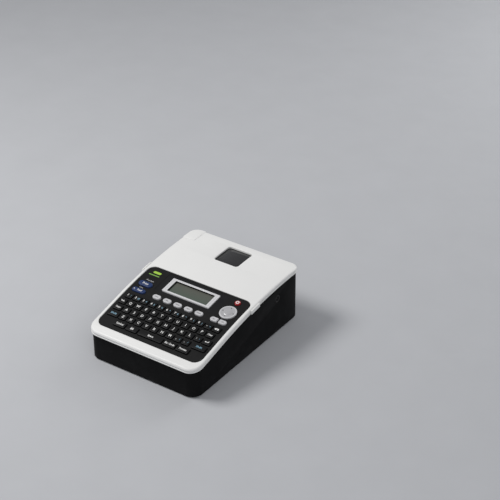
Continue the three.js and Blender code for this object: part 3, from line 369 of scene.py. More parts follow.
def newPiece(name, bm, finishNames, body, replaced=(), sharp=35):
    bmesh.ops.remove_doubles(bm, verts=bm.verts, dist=1e-7)
    bmesh.ops.recalc_face_normals(bm, faces=bm.faces)
    mesh = bpy.data.meshes.new(name)
    bm.to_mesh(mesh)
    bm.free()
    for finish in finishNames:
        mesh.materials.append(finishes[finish])
    for polygon in mesh.polygons:
        polygon.use_smooth = True
    mesh.set_sharp_from_angle(angle=math.radians(sharp))
    piece = bpy.data.objects.new(name, mesh)
    bpy.context.scene.collection.objects.link(piece)
    if replaced:
        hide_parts(*replaced)
    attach(piece, body)
    return piece


def cadMesh(node):  # a node's solid with its flat faces joined up again
    bm = bmesh.new()
    bm.from_mesh(nodes[node].data)
    bmesh.ops.remove_doubles(bm, verts=bm.verts, dist=1e-6)
    bmesh.ops.dissolve_limit(bm, angle_limit=math.radians(0.4), verts=bm.verts, edges=bm.edges)
    for face in bm.faces:
        face.material_index = 0
    return bm


def roundEdges(bm, width, segments=2, angle=40, chosen=None):
    edges = []
    for edge in bm.edges:
        if len(edge.link_faces) != 2 or edge.calc_face_angle(0) < math.radians(angle):
            continue
        if chosen is None or chosen(edge):
            edges.append(edge)
    bmesh.ops.bevel(
        bm, geom=edges, offset=width, segments=segments, profile=0.5, affect="EDGES", clamp_overlap=False
    )


def stack(bm, loops, capFirst=True, capLast=True, closed=False, materialIndex=0):  # skins equal loops
    rings = [[bm.verts.new(point) for point in loop] for loop in loops]
    pairs = list(zip(rings, rings[1:]))
    if closed:
        pairs.append((rings[-1], rings[0]))
    faces = []
    for lower, upper in pairs:
        count = len(lower)
        for index in range(count):
            after = (index + 1) % count
            faces.append(bm.faces.new((lower[index], lower[after], upper[after], upper[index])))
    if not closed and capFirst:
        faces.append(bm.faces.new(list(reversed(rings[0]))))
    if not closed and capLast:
        faces.append(bm.faces.new(rings[-1]))
    for face in faces:
        face.material_index = materialIndex
    return faces


def roundedRect(width, length, corner, steps=4):
    points = []
    for sx, sy, turn in ((1, -1, -90), (1, 1, 0), (-1, 1, 90), (-1, -1, 180)):
        for step in range(steps + 1):
            angle = math.radians(turn + 90 * step / steps)
            x = sx * (width / 2 - corner) + corner * math.cos(angle)
            y = sy * (length / 2 - corner) + corner * math.sin(angle)
            points.append((x, y))
    return points


def pillRing(width, length, steps=14):  # straight sides between two half circles
    radius = length / 2
    points = []
    for side, turn in ((1, -90), (-1, 90)):
        for step in range(steps + 1):
            angle = math.radians(turn + 180 * step / steps)
            x = side * (width / 2 - radius) + radius * math.cos(angle)
            points.append((x, radius * math.sin(angle)))
    return points


def ovalRing(width, length, count=32):
    turns = [math.tau * index / count for index in range(count)]
    return [(width / 2 * math.cos(turn), length / 2 * math.sin(turn)) for turn in turns]


def halfPill(width, length, side, inset=0.0, steps=14):  # round on one side, small corners on the other
    w, l = width - 2 * inset, length - 2 * inset
    radius, corner = l / 2, max(0.9 * mm - inset, 0.15 * mm)
    points = []
    for step in range(steps + 1):
        angle = math.radians(-90 + 180 * step / steps)
        points.append((w / 2 - radius + radius * math.cos(angle), radius * math.sin(angle)))
    for sy, turn in ((1, 90), (-1, 180)):
        for step in range(4):
            angle = math.radians(turn + 30 * step)
            x = -w / 2 + corner + corner * math.cos(angle)
            points.append((x, sy * (l / 2 - corner) + corner * math.sin(angle)))
    return [(side * x, y) for x, y in points] if side > 0 else [(-x, y) for x, y in reversed(points)]


def shifted(points, x, y):
    return [(px + x, py + y) for px, py in points]


def lifted(points, z):
    return [(x, y, z) for x, y in points]


def addText(bm, text, size, place, top, materialIndex, bold=0.022, depth=0.06 * mm, squeeze=1.0):
    curve = bpy.data.curves.new("legend", "FONT")
    curve.body = text
    curve.size = size
    curve.align_x = "CENTER"
    curve.align_y = "CENTER"
    curve.offset = bold * size
    curve.extrude = depth / 2
    curve.resolution_u = 2
    holder = bpy.data.objects.new("legend", curve)
    bpy.context.scene.collection.objects.link(holder)
    bpy.context.view_layer.update()
    mesh = bpy.data.meshes.new_from_object(holder.evaluated_get(bpy.context.evaluated_depsgraph_get()))
    middle = Matrix.Translation((place[0], place[1], top - depth / 2))
    mesh.transform(middle @ Matrix.Diagonal((squeeze, 1, 1, 1)))
    addMesh(bm, mesh, materialIndex)
    bpy.data.objects.remove(holder)
    bpy.data.curves.remove(curve)


def addMesh(bm, mesh, materialIndex):
    before = len(bm.faces)
    bm.from_mesh(mesh)
    bm.faces.ensure_lookup_table()
    for face in bm.faces[before:]:
        face.material_index = materialIndex
    bpy.data.meshes.remove(mesh)


def addOutline(bm, points, bottom, top, materialIndex):  # a thin raised shape from its outline
    stack(bm, [lifted(points, bottom), lifted(points, top)], materialIndex=materialIndex)


# Camera and stage

cameraLook = {
    "lens": 106.75,
    "turn": math.radians(34.84),
    "height": math.radians(31.393),
    "roll": math.radians(-0.334),
    "fromPanel": (757.6 * mm, -910.4 * mm, 824.9 * mm),  # from the middle of the panel's front edge
}


def makeCamera():
    look = cameraLook
    turn, height, roll = look["turn"], look["height"], look["roll"]
    level = math.cos(height)
    ahead = Vector((-math.sin(turn) * level, math.cos(turn) * level, -math.sin(height)))
    right = Vector((math.cos(turn), math.sin(turn), 0))
    up = right.cross(ahead)
    xAxis = right * math.cos(roll) + up * math.sin(roll)
    yAxis = up * math.cos(roll) - right * math.sin(roll)
    data = bpy.data.cameras.new("camera")
    data.lens = look["lens"]
    data.sensor_width = 36
    camera = bpy.data.objects.new("camera", data)
    rotation = Matrix((xAxis, yAxis, -ahead)).transposed().to_4x4()
    place = Vector((0, panelFront, topZ(panelFront))) + Vector(look["fromPanel"])
    camera.matrix_world = Matrix.Translation(place) @ rotation
    bpy.context.scene.collection.objects.link(camera)
    bpy.context.scene.camera = camera


lamps = {
    "keyLight": {"place": (-0.75, -0.35, 1.05), "size": 0.55, "power": 11.5, "color": (1.0, 0.99, 0.98)},
    "fillLight": {"place": (0.95, -0.7, 0.8), "size": 1.0, "power": 3.4, "color": (0.97, 0.98, 1.0)},
    "rimLight": {"place": (0.25, 1.15, 0.55), "size": 0.7, "power": 4.0, "color": (1.0, 1.0, 1.0)},
}
lampTarget = (0, 0, 0.03)


def makeStage():
    for name, lamp in lamps.items():
        data = bpy.data.lights.new(name, "AREA")
        data.shape = "DISK"
        data.size = lamp["size"]
        data.energy = lamp["power"]
        data.color = lamp["color"]
        light = bpy.data.objects.new(name, data)
        light.location = lamp["place"]
        towards = Vector(lampTarget) - Vector(lamp["place"])
        light.rotation_euler = towards.to_track_quat("-Z", "Y").to_euler()
        bpy.context.scene.collection.objects.link(light)
    world = bpy.data.worlds.new("studio")
    world.use_nodes = True
    world.node_tree.nodes["Background"].inputs["Color"].default_value = (0.95, 0.96, 1.0, 1.0)
    world.node_tree.nodes["Background"].inputs["Strength"].default_value = 0.31
    bpy.context.scene.world = world
    bpy.context.scene.view_settings.view_transform = "Standard"
    bm = bmesh.new()
    bmesh.ops.create_grid(bm, x_segments=8, y_segments=8, size=6.0)
    mesh = bpy.data.meshes.new("floor")
    bm.to_mesh(mesh)
    bm.free()
    paper = moulded("Floor paper", (0.50, 0.51, 0.53), 0.85, grain=400.0, bump=0.02, scuffAndShine=0.0, dusty=0.0)
    mesh.materials.append(paper)
    floor = bpy.data.objects.new("floor", mesh)
    bpy.context.scene.collection.objects.link(floor)


makeCamera()
makeStage()
print("camera and stage made")


# Case covers

coverLook = {
    "radius": 2.2 * mm,
    "edge": 0.2 * mm,
    "rim": 0.45 * mm,
    "front": -91.5 * mm,
    "rear": 91.5 * mm,
    "half": 67.2 * mm,
    "levels": (-2.55, -2.8, -3.45, -3.7, -4.3),
    "groove": ((-2.55, 0.15), (-2.8, 0.55), (-3.45, 0.6), (-3.7, 0.15)),
    "frontCorner": 13 * mm,
    "rearCorner": 10 * mm,
    "flat": 0.1 * mm,
    "shortest": 1.5 * mm,
    "reach": 0.35 * mm,
    "cadLevels": (0, -2.0, -2.2, -4.6),
}
bendStep = 2.4 * mm  # flat work gets a row of points this often before it is bent over the crown


def outlineDistance(x, y):  # how far a place lies outside the body's outline
    corner = coverLook["frontCorner"] if y < 0 else coverLook["rearCorner"]
    middle = (coverLook["front"] + coverLook["rear"]) / 2
    across = abs(x) - coverLook["half"] + corner
    along = abs(y - middle) - (coverLook["rear"] - coverLook["front"]) / 2 + corner
    return math.hypot(max(across, 0), max(along, 0)) + min(max(across, along), 0) - corner


def onOutline(vert):
    return abs(outlineDistance(vert.co.x, vert.co.y)) < coverLook["reach"]


def sliceAt(bm, place, normal):
    geometry = bm.verts[:] + bm.edges[:] + bm.faces[:]
    bmesh.ops.bisect_plane(bm, geom=geometry, dist=1e-7, plane_co=place, plane_no=normal)


def shapeCover(bm):  # worked on flat, then bent back over the crown
    for vert in bm.verts:
        vert.co.z -= topZ(vert.co.y)
        for level in coverLook["cadLevels"]:
            if abs(vert.co.z - level * mm) < coverLook["flat"]:
                vert.co.z = level * mm
    bmesh.ops.dissolve_limit(bm, angle_limit=math.radians(0.6), verts=bm.verts, edges=bm.edges)

    def atTop(edge):
        return all(vert.co.z > -0.05 * mm for vert in edge.verts)

    def outer(edge):
        return atTop(edge) and all(onOutline(vert) for vert in edge.verts)

    roundEdges(bm, coverLook["radius"], segments=6, chosen=outer)
    roundEdges(bm, coverLook["rim"], segments=3, angle=60, chosen=atTop)
    for level in coverLook["levels"]:
        sliceAt(bm, (0, 0, level * mm), (0, 0, 1))
    for vert in bm.verts:
        for level, depth in coverLook["groove"]:
            if abs(vert.co.z - level * mm) < 1e-6 and onOutline(vert):
                vert.co.x *= 1 - depth * mm / coverLook["half"]
                vert.co.y *= 1 - depth * mm / coverLook["rear"]

    def longEdge(edge):
        return edge.calc_length() > coverLook["shortest"]

    roundEdges(bm, coverLook["edge"], segments=2, angle=60, chosen=longEdge)
    for step in range(-38, 39):
        sliceAt(bm, (0, step * bendStep, 0), (0, 1, 0))
    for vert in bm.verts:
        vert.co.z += topZ(vert.co.y)


def makeCovers():
    for name, node, body in (("frontCover", "top_case", "case"), ("lidCover", "cassette_lid", "lid")):
        bm = cadMesh(node)
        shapeCover(bm)
        newPiece(name, bm, ["coverWhite"], body, [node])


makeCovers()
print("covers made")


# Keys

keyLook = {
    "rise": 1.1 * mm,
    "depth": 6.9 * mm,
    "corner": 0.95 * mm,
    "letter": 4.2 * mm,
    "word": 2.7 * mm,
}
rowLook = {"cap": 8.4, "pitch": 9.8, "narrowPitch": 9.7, "widePanelY": 8.6}
legendLook = {
    "shift": 3.1,
    "digit": 3.6,
    "symbol": 2.8,
    "cross": 2.4,
    "wide": 3.1,
    "accent": 4.2,
    "small": 2.0,
    "answer": 2.1,
}


def levels(*pairs):  # heights and insets in mm
    return [(height * mm, inset * mm) for height, inset in pairs]


crown = levels((-2.6, 0), (0.7, 0), (0.93, 0.08), (1.05, 0.22), (1.1, 0.42))


def capBody(bm, outlineAt, shape=crown):
    stack(bm, [lifted(outlineAt(inset), z) for z, inset in shape])


def rectOutline(width, length, corner):
    def at(inset):
        return roundedRect(width - 2 * inset, length - 2 * inset, max(corner - inset, 0.3 * mm))
    return at


def evenRow(first, labels, pitch=rowLook["pitch"]):
    return [(first + pitch * index, rowLook["cap"], label) for index, label in enumerate(labels)]


blueShift = ("Shift", "legendBlue")
letterRows = {
    "number_key_row": {
        "panelY": 44.3,
        "keys": evenRow(-54.4, ["1!", "2@", "3#", "4$", "5%", "6^", "7&", "8*", "9(", "0)", "-+", "<back"]),
    },
    "qwerty_key_row": {"panelY": 35.4, "keys": evenRow(-55.9, ["Tab", *"QWERTYUIOP", "Clear"])},
    "home_key_row": {
        "panelY": 26.6,
        "keys": [(-54.9, 9.4, "Caps"), *evenRow(-44.3, [*"ASDFGHJKL", ":;"]), (54.6, 9.4, "<enter")],
    },
    "shift_key_row": {
        "panelY": 17.6,
        "keys": [
            (-53.4, 12.6, blueShift),
            *evenRow(-41.6, [*"ZXCVBNM", ",?", "./"], rowLook["narrowPitch"]),
            (51.6, 15.6, blueShift),
        ],
    },
}


def enterArrow(scale):
    head = [(-1.3, 0.7), (-2.6, -0.4), (-1.3, -1.5)]
    shaft = [(-1.3, -0.75), (2.3, -0.75), (2.3, 1.3), (1.6, 1.3), (1.6, -0.05), (-1.3, -0.05)]
    points = [*head[1:], *shaft, head[0]]
    return [(x * scale, y * scale) for x, y in points]


def backArrow(scale):
    points = [(-3.0, 0.0), (-1.5, -1.3), (2.8, -1.3), (2.8, 1.3), (-1.5, 1.3)]
    return [(x * scale, y * scale) for x, y in points]


def capLegend(bm, label):
    top = keyLook["rise"] + 0.03 * mm
    base = keyLook["rise"] - 0.05 * mm
    if isinstance(label, tuple):
        addText(bm, label[0], legendLook["shift"] * mm, (0, 0), top, 2, squeeze=1.3)
    elif label == "<enter":
        addOutline(bm, enterArrow(0.9 * mm), base, top, 1)
    elif label == "<back":
        addOutline(bm, backArrow(0.85 * mm), base, top, 1)
        addText(bm, "x", legendLook["cross"] * mm, (0.4 * mm, 0.1 * mm), top + 0.02 * mm, 0, bold=0.05)
    elif len(label) == 2:
        addText(bm, label[0], legendLook["digit"] * mm, (-1.6 * mm, 0), top, 1)
        addText(bm, label[1], legendLook["symbol"] * mm, (2.0 * mm, -0.1 * mm), top, 2, bold=0.01)
    elif len(label) == 1:
        addText(bm, label, keyLook["letter"], (0, 0), top, 1, bold=0.012)
    else:
        addText(bm, label, keyLook["word"], (0, 0), top, 1, squeeze=1.1 if label != "Clear" else 0.98)


keyNames = {
    "-+": "minus",
    "<back": "backspace",
    "<enter": "enter",
    ":;": "colon",
    ",?": "comma",
    "./": "period",
}


def keyName(label, x):
    if isinstance(label, tuple):
        return "keyShiftLeft" if x < 0 else "keyShiftRight"
    plain = keyNames.get(label, label[0] if len(label) == 2 else label)
    return "key" + plain[0].upper() + plain[1:]


def makeLetterRows():
    for node, row in letterRows.items():
        frameAt = onTop(0, row["panelY"] * mm)
        body = node + "_body"
        bm = bmesh.new()  # the flexible runner under the caps
        first, last = row["keys"][0][0] * mm, row["keys"][-1][0] * mm
        runner = roundedRect(last - first, 5.2 * mm, 1.0 * mm)
        middle = (first + last) / 2
        stack(bm, [[(x + middle, y, z) for x, y in runner] for z in (-3.4 * mm, -2.65 * mm)])
        bm.transform(frameAt)
        roundEdges(bm, 0.15 * mm)
        newPiece(node.replace("_key_row", "") + "Runner", bm, ["keyRubber"], body, [node])
        for x, width, label in row["keys"]:
            bm = bmesh.new()
            capBody(bm, rectOutline(width * mm, keyLook["depth"], keyLook["corner"]))
            capLegend(bm, label)
            bm.transform(frameAt @ Matrix.Translation((x * mm, 0, 0)))
            newPiece(keyName(label, x), bm, ["keyRubber", "legendWhite", "legendBlue"], body)


makeLetterRows()
print("letter keys made")


wideKeys = {
    "symbol_key": {"x": -38.4, "width": 14.0, "label": "Symbol"},
    "accent_key": {"x": -23.2, "width": 13.6, "label": "äé"},
    "space_key": {"x": -0.3, "width": 29.0, "label": "Space"},
    "barcode_key": {"x": 22.9, "width": 14.6, "label": "Bar Code"},
    "format_key": {"x": 38.8, "width": 14.4, "label": "Format"},
}


def makeWideKeys():
    for node, key in wideKeys.items():
        bm = bmesh.new()
        capBody(bm, rectOutline(key["width"] * mm, keyLook["depth"], keyLook["corner"]))
        size = legendLook["accent" if node == "accent_key" else "wide"]
        addText(bm, key["label"], size * mm, (0, 0), keyLook["rise"] + 0.03 * mm, 1, squeeze=0.95)
        bm.transform(onTop(key["x"] * mm, rowLook["widePanelY"] * mm))
        name = node.replace("_key", "Key")
        newPiece(name, bm, ["keyRubber", "legendWhite"], node + "_body", [node])


makeWideKeys()
print("wide keys made")


functionKeys = {
    "labels": ["Font", "Size", "Width", "Style", "Frame"],
    "first": -28.0,
    "pitch": 13.05,
    "panelY": 54.8,
    "size": (9.5, 5.5),
}
answerKeys = {
    "escape_key": {"x": 42.4, "panelY": 55.0, "size": (8.5, 5.4), "side": -1, "label": "Esc"},
    "ok_key": {"x": 52.7, "panelY": 55.0, "size": (8.5, 5.4), "side": 1, "label": "OK"},
}
softCrown = levels((-2.6, 0), (0.45, 0), (0.8, 0.14), (1.0, 0.4), (1.1, 0.8))
dishCrown = [*softCrown[:4], *levels((1.08, 0.6), (1.08, 0.8), (0.98, 1.1))]  # hollow inside a rim
dishTop = 1.01 * mm
silverLegend = ["keySilver", "legendGrey"]


def functionPlace(index):
    return (functionKeys["first"] + functionKeys["pitch"] * index) * mm, functionKeys["panelY"] * mm


def makeFunctionKeys():
    width, length = (value * mm for value in functionKeys["size"])
    for index, label in enumerate(functionKeys["labels"]):
        bm = bmesh.new()
        capBody(bm, lambda inset: pillRing(width - 2 * inset, length - 2 * inset), dishCrown)
        addText(bm, label, legendLook["small"] * mm, (0, 0), dishTop, 1, bold=0.02)
        bm.transform(onTop(*functionPlace(index)))
        node = f"function_key_{index + 1}"
        newPiece("functionKey" + label, bm, silverLegend, node + "_body", [node])
    for node, key in answerKeys.items():
        bm = bmesh.new()
        width, length = (value * mm for value in key["size"])
        capBody(bm, lambda inset: halfPill(width, length, key["side"], inset), dishCrown)
        addText(bm, key["label"], legendLook["answer"] * mm, (0, 0), dishTop, 1, bold=0.02)
        bm.transform(onTop(key["x"] * mm, key["panelY"] * mm))
        name = node.replace("_key", "Key")
        newPiece(name, bm, silverLegend, node + "_body", [node])


makeFunctionKeys()
print("function keys made")


blueKeys = {
    "print_key": {"x": -50.2, "panelY": 65.2, "size": (16.4, 7.0), "label": "Print", "text": 3.6},
    "feed_key": {"x": -50.8, "panelY": 54.6, "size": (16.2, 5.6), "label": "Feed", "text": 3.0},
}


def makeBlueKeys():
    for node, key in blueKeys.items():
        width, length = key["size"][0] * mm, key["size"][1] * mm
        bm = bmesh.new()
        capBody(bm, lambda inset: pillRing(width - 2 * inset, length - 2 * inset, 18), softCrown)
        place = (0, 0) if node == "print_key" else (1.2 * mm, 0)
        addText(bm, key["label"], key["text"] * mm, place, keyLook["rise"] + 0.03 * mm, 1, bold=0.015)
        if node == "feed_key":
            arrow = shifted([(-0.9 * mm, 0.8 * mm), (-0.9 * mm, -0.8 * mm), (0.7 * mm, 0)], -5.1 * mm, 0)
            addOutline(bm, arrow, 0.95 * mm, keyLook["rise"] + 0.03 * mm, 1)
        bm.transform(onTop(key["x"] * mm, key["panelY"] * mm))
        name = node.replace("_key", "Key")
        newPiece(name, bm, ["keyBlue", "legendWhite"], node + "_body", [node])


def ringShape(bm, outer, inner, bottom, top, materialIndex, count=28):
    turns = [math.tau * step / count for step in range(count)]
    outline = [(outer * math.cos(turn), outer * math.sin(turn)) for turn in turns]
    inside = [(inner * math.cos(turn), inner * math.sin(turn)) for turn in turns]
    loops = [lifted(outline, bottom), lifted(outline, top), lifted(inside, top), lifted(inside, bottom)]
    stack(bm, loops, closed=True, materialIndex=materialIndex)


powerLook = {"x": 49.6, "panelY": 85.0, "size": 6.2, "ring": (2.0, 1.0)}
padLook = {
    "x": 49.4,
    "panelY": 68.9,
    "radius": 9.0,
    "rim": [
        (7.9, -3.2), (8.0, -0.5), (8.9, -0.25), (9.0, 0.2), (9.0, 0.7),
        (8.85, 1.0), (8.5, 1.18), (7.9, 1.22), (7.5, 1.12),
    ],
    "face": [(7.5, 1.12), (6.9, 1.06), (5.6, 1.04), (5.0, 1.0)],
    "dome": [
        (5.0, 1.0), (4.75, 1.05), (4.4, 1.25), (3.8, 1.5),
        (3.0, 1.68), (2.0, 1.79), (1.0, 1.84), (0.4, 1.85),
    ],
    "dot": (6.1, 1.25),
}


def makePowerKey():
    bm = bmesh.new()
    size = powerLook["size"] * mm
    capBody(bm, lambda inset: ovalRing(size - 2 * inset, size - 2 * inset), softCrown)
    outer, inner = (radius * mm for radius in powerLook["ring"])
    ringShape(bm, outer, inner, 0.9 * mm, keyLook["rise"] + 0.03 * mm, 1)
    bm.transform(onTop(powerLook["x"] * mm, powerLook["panelY"] * mm))
    newPiece("powerKey", bm, ["keyRed", "legendWhite"], "power_key_body", ["power_key"])


def makeNavPad():
    bm = bmesh.new()
    for part, materialIndex in (("rim", 1), ("face", 0), ("dome", 0)):
        loops = []
        for radius, z in padLook[part]:
            loops.append(lifted(ovalRing(2 * radius * mm, 2 * radius * mm, 64), z * mm))
        stack(bm, loops, capFirst=part == "rim", capLast=part == "dome", materialIndex=materialIndex)
    reach, across = (value * mm for value in padLook["dot"])
    for quarter in range(4):
        angle = math.radians(90 * quarter)
        dot = shifted(ovalRing(across, across, 16), reach * math.cos(angle), reach * math.sin(angle))
        addOutline(bm, dot, 0.9 * mm, 1.09 * mm, 2)
    bm.transform(onTop(padLook["x"] * mm, padLook["panelY"] * mm))
    padFinishes = ["padSilver", "keySilver", "legendDark"]
    newPiece("navigationPad", bm, padFinishes, "nav_top", ["nav_pad"], sharp=28)


makeBlueKeys()
makePowerKey()
makeNavPad()
print("round keys made")


# Keyboard panel, display and printed marks

displayLook = {"outer": (58.0, 20.9), "opening": (48.4, 16.2), "top": 0.42, "x": -0.8, "panelY": 75.5}
panelLook = {
    "corner": 8.5 * mm,
    "top": -0.3 * mm,
    "thickness": 1.6 * mm,
    "zone": (-38.0, 37.0, 61.5, 90.2),
    "zoneDrop": 0.16 * mm,
    "zoneCorner": 3.0 * mm,
    "displayCorner": 1.2 * mm,
    "bevel": 0.3 * mm,
    "keyGap": 0.35 * mm,
}


def capHole(width):
    gap = panelLook["keyGap"]
    return roundedRect(width * mm + 2 * gap, keyLook["depth"] + 2 * gap, keyLook["corner"] + gap, 3)


def panelHoles():
    gap = panelLook["keyGap"]
    holes = []
    for row in letterRows.values():
        for x, width, _ in row["keys"]:
            holes.append(shifted(capHole(width), x * mm, row["panelY"] * mm))
    for key in wideKeys.values():
        holes.append(shifted(capHole(key["width"]), key["x"] * mm, rowLook["widePanelY"] * mm))
    width, length = (value * mm + 2 * gap for value in functionKeys["size"])
    for index in range(len(functionKeys["labels"])):
        holes.append(shifted(pillRing(width, length), *functionPlace(index)))
    for key in answerKeys.values():
        width, length = (value * mm for value in key["size"])
        holes.append(shifted(halfPill(width, length, key["side"], -gap), key["x"] * mm, key["panelY"] * mm))
    for key in blueKeys.values():
        width, length = (value * mm + 2 * gap for value in key["size"])
        holes.append(shifted(pillRing(width, length, 18), key["x"] * mm, key["panelY"] * mm))
    power, pad = powerLook["size"] * mm + 2 * gap, 2 * padLook["radius"] * mm + 2 * gap
    holes.append(shifted(ovalRing(power, power), powerLook["x"] * mm, powerLook["panelY"] * mm))
    holes.append(shifted(ovalRing(pad, pad, 64), padLook["x"] * mm, padLook["panelY"] * mm))
    return holes


def flatFill(bm, loops, z, materialIndex):  # a flat sheet with holes, from its outlines
    edges = []
    for loop in loops:
        ring = [bm.verts.new((x, y, z)) for x, y in loop]
        edges += [bm.edges.new((ring[index], ring[(index + 1) % len(ring)])) for index in range(len(ring))]
    made = bmesh.ops.triangle_fill(bm, use_beauty=True, use_dissolve=False, edges=edges)
    for item in made["geom"]:
        if isinstance(item, bmesh.types.BMFace):
            item.material_index = materialIndex


def wall(bm, loop, bottom, top, materialIndex=0):
    loops = [lifted(loop, bottom), lifted(loop, top)]
    stack(bm, loops, capFirst=False, capLast=False, materialIndex=materialIndex)


def bendOntoTop(bm):  # flat x, panelY and height above the surface become places on the crown
    for step in range(1, 40):
        sliceAt(bm, (0, step * bendStep, 0), (0, 1, 0))
    for vert in bm.verts:
        y = panelFront + vert.co.y
        vert.co = Vector((vert.co.x, y, topZ(y) + vert.co.z))


def makePanel():
    length = panelRear - panelFront
    outline = roundedRect(2 * panelHalf, length, panelLook["corner"], 12)
    outline = shifted(outline, 0, length / 2)
    left, right, front, back = (value * mm for value in panelLook["zone"])
    zone = roundedRect(right - left, back - front, panelLook["zoneCorner"], 5)
    zone = shifted(zone, (left + right) / 2, (front + back) / 2)
    width, breadth = (value * mm + 2 * panelLook["keyGap"] for value in displayLook["outer"])
    display = roundedRect(width, breadth, panelLook["displayCorner"], 3)
    display = shifted(display, displayLook["x"] * mm, displayLook["panelY"] * mm)
    holes = panelHoles()
    top = panelLook["top"]
    low = top - panelLook["zoneDrop"]
    bottom = top - panelLook["thickness"]
    bm = bmesh.new()
    bevel = panelLook["bevel"]
    inner = roundedRect(2 * (panelHalf - bevel), length - 2 * bevel, panelLook["corner"] - bevel, 12)
    inner = shifted(inner, 0, length / 2)
    edgeLoops = [lifted(outline, bottom), lifted(outline, top - bevel), lifted(inner, top)]
    stack(bm, edgeLoops, capFirst=False, capLast=False)
    flatFill(bm, [inner, zone, *holes], top, 0)
    flatFill(bm, [zone, display], low, 1)
    flatFill(bm, [outline, display, *holes], bottom, 0)
    wall(bm, zone, low, top)
    wall(bm, display, bottom, low, 1)
    for hole in holes:
        wall(bm, hole, bottom, top)
    bmesh.ops.remove_doubles(bm, verts=bm.verts, dist=1e-6)
    bendOntoTop(bm)
    panelFinishes = ["panelCharcoal", "panelGloss"]
    newPiece("keyboardPanel", bm, panelFinishes, "case", ["keyboard_panel"])


def makeDisplay():
    width, length = (value * mm for value in displayLook["outer"])
    openWidth, openLength = (value * mm for value in displayLook["opening"])
    place = onTop(displayLook["x"] * mm, displayLook["panelY"] * mm)
    bm = bmesh.new()

    def ring(w, l, corner, z):
        return lifted(roundedRect(w, l, corner, 5), z)

    top = displayLook["top"] * mm
    groove = (width + openWidth) / 2
    loops = [
        ring(width, length, 0.6 * mm, -2.2 * mm),
        ring(width, length, 0.6 * mm, top - 0.15 * mm),
        ring(width - 0.2 * mm, length - 0.2 * mm, 0.55 * mm, top),
        ring(groove + 0.3 * mm, openLength + 0.9 * mm, 0.5 * mm, top),
        ring(groove, openLength + 0.8 * mm, 0.5 * mm, top - 0.22 * mm),
        ring(groove - 0.3 * mm, openLength + 0.7 * mm, 0.5 * mm, top - 0.06 * mm),
        ring(openWidth + 0.3 * mm, openLength + 0.3 * mm, 0.45 * mm, top - 0.12 * mm),
        ring(openWidth, openLength, 0.4 * mm, top - 0.3 * mm),
        ring(openWidth, openLength, 0.4 * mm, -2.2 * mm),
    ]
    faces = stack(bm, loops, closed=True)
    count = len(loops[0])
    # the opening's inner wall takes the black finish: painted shade for the dark depth of the recess
    for index, face in enumerate(faces):
        face.material_index = 1 if index // count == 7 else 0
    bm.transform(place)
    newPiece("displayBezel", bm, ["bezelSilver", "innerBlack"], "case", ["lcd_bezel"])

    bm = bmesh.new()
    paneWidth, paneLength = openWidth - 0.5 * mm, openLength - 0.5 * mm
    pane = [
        ring(paneWidth, paneLength, 0.3 * mm, -2.0 * mm),
        ring(paneWidth, paneLength, 0.3 * mm, -1.65 * mm),
        ring(paneWidth - 0.2 * mm, paneLength - 0.2 * mm, 0.3 * mm, -1.55 * mm),
    ]
    stack(bm, pane)
    bm.transform(place)
    newPiece("displayPane", bm, ["displayGlass"], "case", ["lcd_lens"])


marks = {
    "captions": [("Preview", -49.6, 71.9, 2.9, 1.0), ("Cut", -51.6, 59.6, 2.3, 1.35)],
    "patch": (-50.2, 84.9, 9.6, 3.2),
    "bar": (-51.2, 80.4, 13.0, 1.2),
}


def makeMarks():
    bm = bmesh.new()
    for text, x, y, size, squeeze in marks["captions"]:
        part = bmesh.new()
        addText(part, text, size * mm, (0, 0), panelLook["top"] + 0.03 * mm, 0, bold=0.01, squeeze=squeeze)
        part.transform(onTop(x * mm, y * mm))
        mesh = bpy.data.meshes.new("caption")
        part.to_mesh(mesh)
        part.free()
        addMesh(bm, mesh, 0)
    newPiece("panelCaptions", bm, ["captionGrey"], "case")
    bm = bmesh.new()
    x, y, length, breadth = marks["patch"]
    base, top = panelLook["top"] - 0.05 * mm, panelLook["top"] + 0.04 * mm
    addOutline(bm, pillRing(length * mm, breadth * mm), base, top, 0)
    barX, barY, barLength, barWidth = marks["bar"]
    bar = shifted(roundedRect(barLength * mm, barWidth * mm, 0.5 * mm), (barX - x) * mm, (barY - y) * mm)
    addOutline(bm, bar, base, top, 1)
    bm.transform(onTop(x * mm, y * mm))
    newPiece("greenMark", bm, ["markLime", "markGreen"], "case")


makePanel()
makeDisplay()
makeMarks()
print("panel and display made")


# Everything else keeps its CAD shape and gets rounded edges

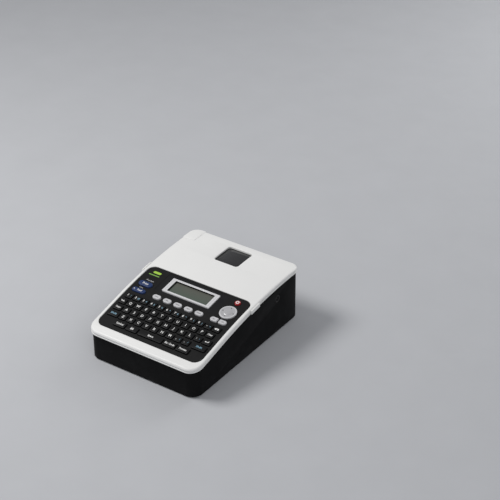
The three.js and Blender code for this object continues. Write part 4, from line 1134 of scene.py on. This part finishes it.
plainPieces = {
    "base_case": ("baseShell", "baseBlack", "black_base", 0.3, 2),
    "battery_door": ("batteryDoor", "baseBlack", "black_base", 0.25, 2),
    "battery_tray": ("batteryTray", "innerBlack", "black_base", 0.25, 2),
    "cassette_bay": ("cassetteBay", "innerBlack", "black_base", 0.25, 2),
    "roller_holder": ("rollerHolder", "innerBlack", "black_base", 0.2, 2),
    "nav_pivot": ("padPivot", "innerBlack", "black_base", 0.15, 2),
    "dc_jack": ("powerInlet", "innerBlack", "black_base", 0.15, 2),
    "lcd_module": ("displayModule", "innerBlack", "lcd_frame", 0.2, 2),
    "lid_window": ("windowPane", "smokedPane", "smoked_window", 0.15, 2),
    "key_dome_sheet": ("domeSheet", "siliconeGrey", "dome_sheet", 0.15, 1),
    "main_board": ("mainBoard", "boardGreen", "circuit_board", 0.15, 1),
    "battery_spring_plate": ("springPlate", "steelBright", "steel", 0.08, 1),
    "battery_contact_plate": ("contactPlate", "steelBright", "steel", 0.08, 1),
    "motor": ("motorCan", "steelBright", "steel", 0.4, 3),
    "cutter_blade": ("cutterBlade", "steelBright", "steel", 0.1, 1),
    "heat_sink": ("heatSink", "aluminiumBare", "aluminium", 0.15, 2),
    "print_head": ("printHead", "headCeramic", "head_ceramic", 0.12, 2),
    "motor_pinion": ("motorPinion", "brassTurned", "brass", 0.08, 1),
    "idler_gear": ("idlerGear", "nylonCream", "nylon", 0.1, 1),
    "transfer_gear": ("transferGear", "nylonCream", "nylon", 0.1, 1),
    "ribbon_gear": ("ribbonGear", "nylonCream", "nylon", 0.1, 1),
    "platen_gear": ("platenGear", "nylonCream", "nylon", 0.1, 1),
    "ribbon_spindle": ("ribbonSpindle", "nylonCream", "nylon", 0.1, 1),
    "platen_roller": ("platenRoller", "rollerRubber", "roller_rubber", 0.12, 2),
    "feed_roller": ("feedRoller", "rollerRubber", "roller_rubber", 0.12, 2),
}
for index in range(1, 5):
    plainPieces[f"rubber_foot_{index}"] = (f"rubberFoot{index}", "footRubber", "roller_rubber", 0.35, 3)
    plainPieces[f"case_screw_{index}"] = (f"caseScrew{index}", "steelBright", "steel", 0.12, 2)


def makePlainPieces():
    for node, (name, finish, slotName, width, segments) in plainPieces.items():
        bm = cadMesh(node)
        roundEdges(bm, width * mm, segments)
        newPiece(name, bm, [finish], nodes[node]["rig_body"], [node])


makePlainPieces()
print("inner pieces made")


def makeCutterButton():
    bm = cadMesh("cutter_button")
    roundEdges(bm, 0.4 * mm, segments=3, angle=50)
    newPiece("cutterButton", bm, ["coverWhite"], "cutter_key", ["cutter_button"])


makeCutterButton()
print("cutter button made")
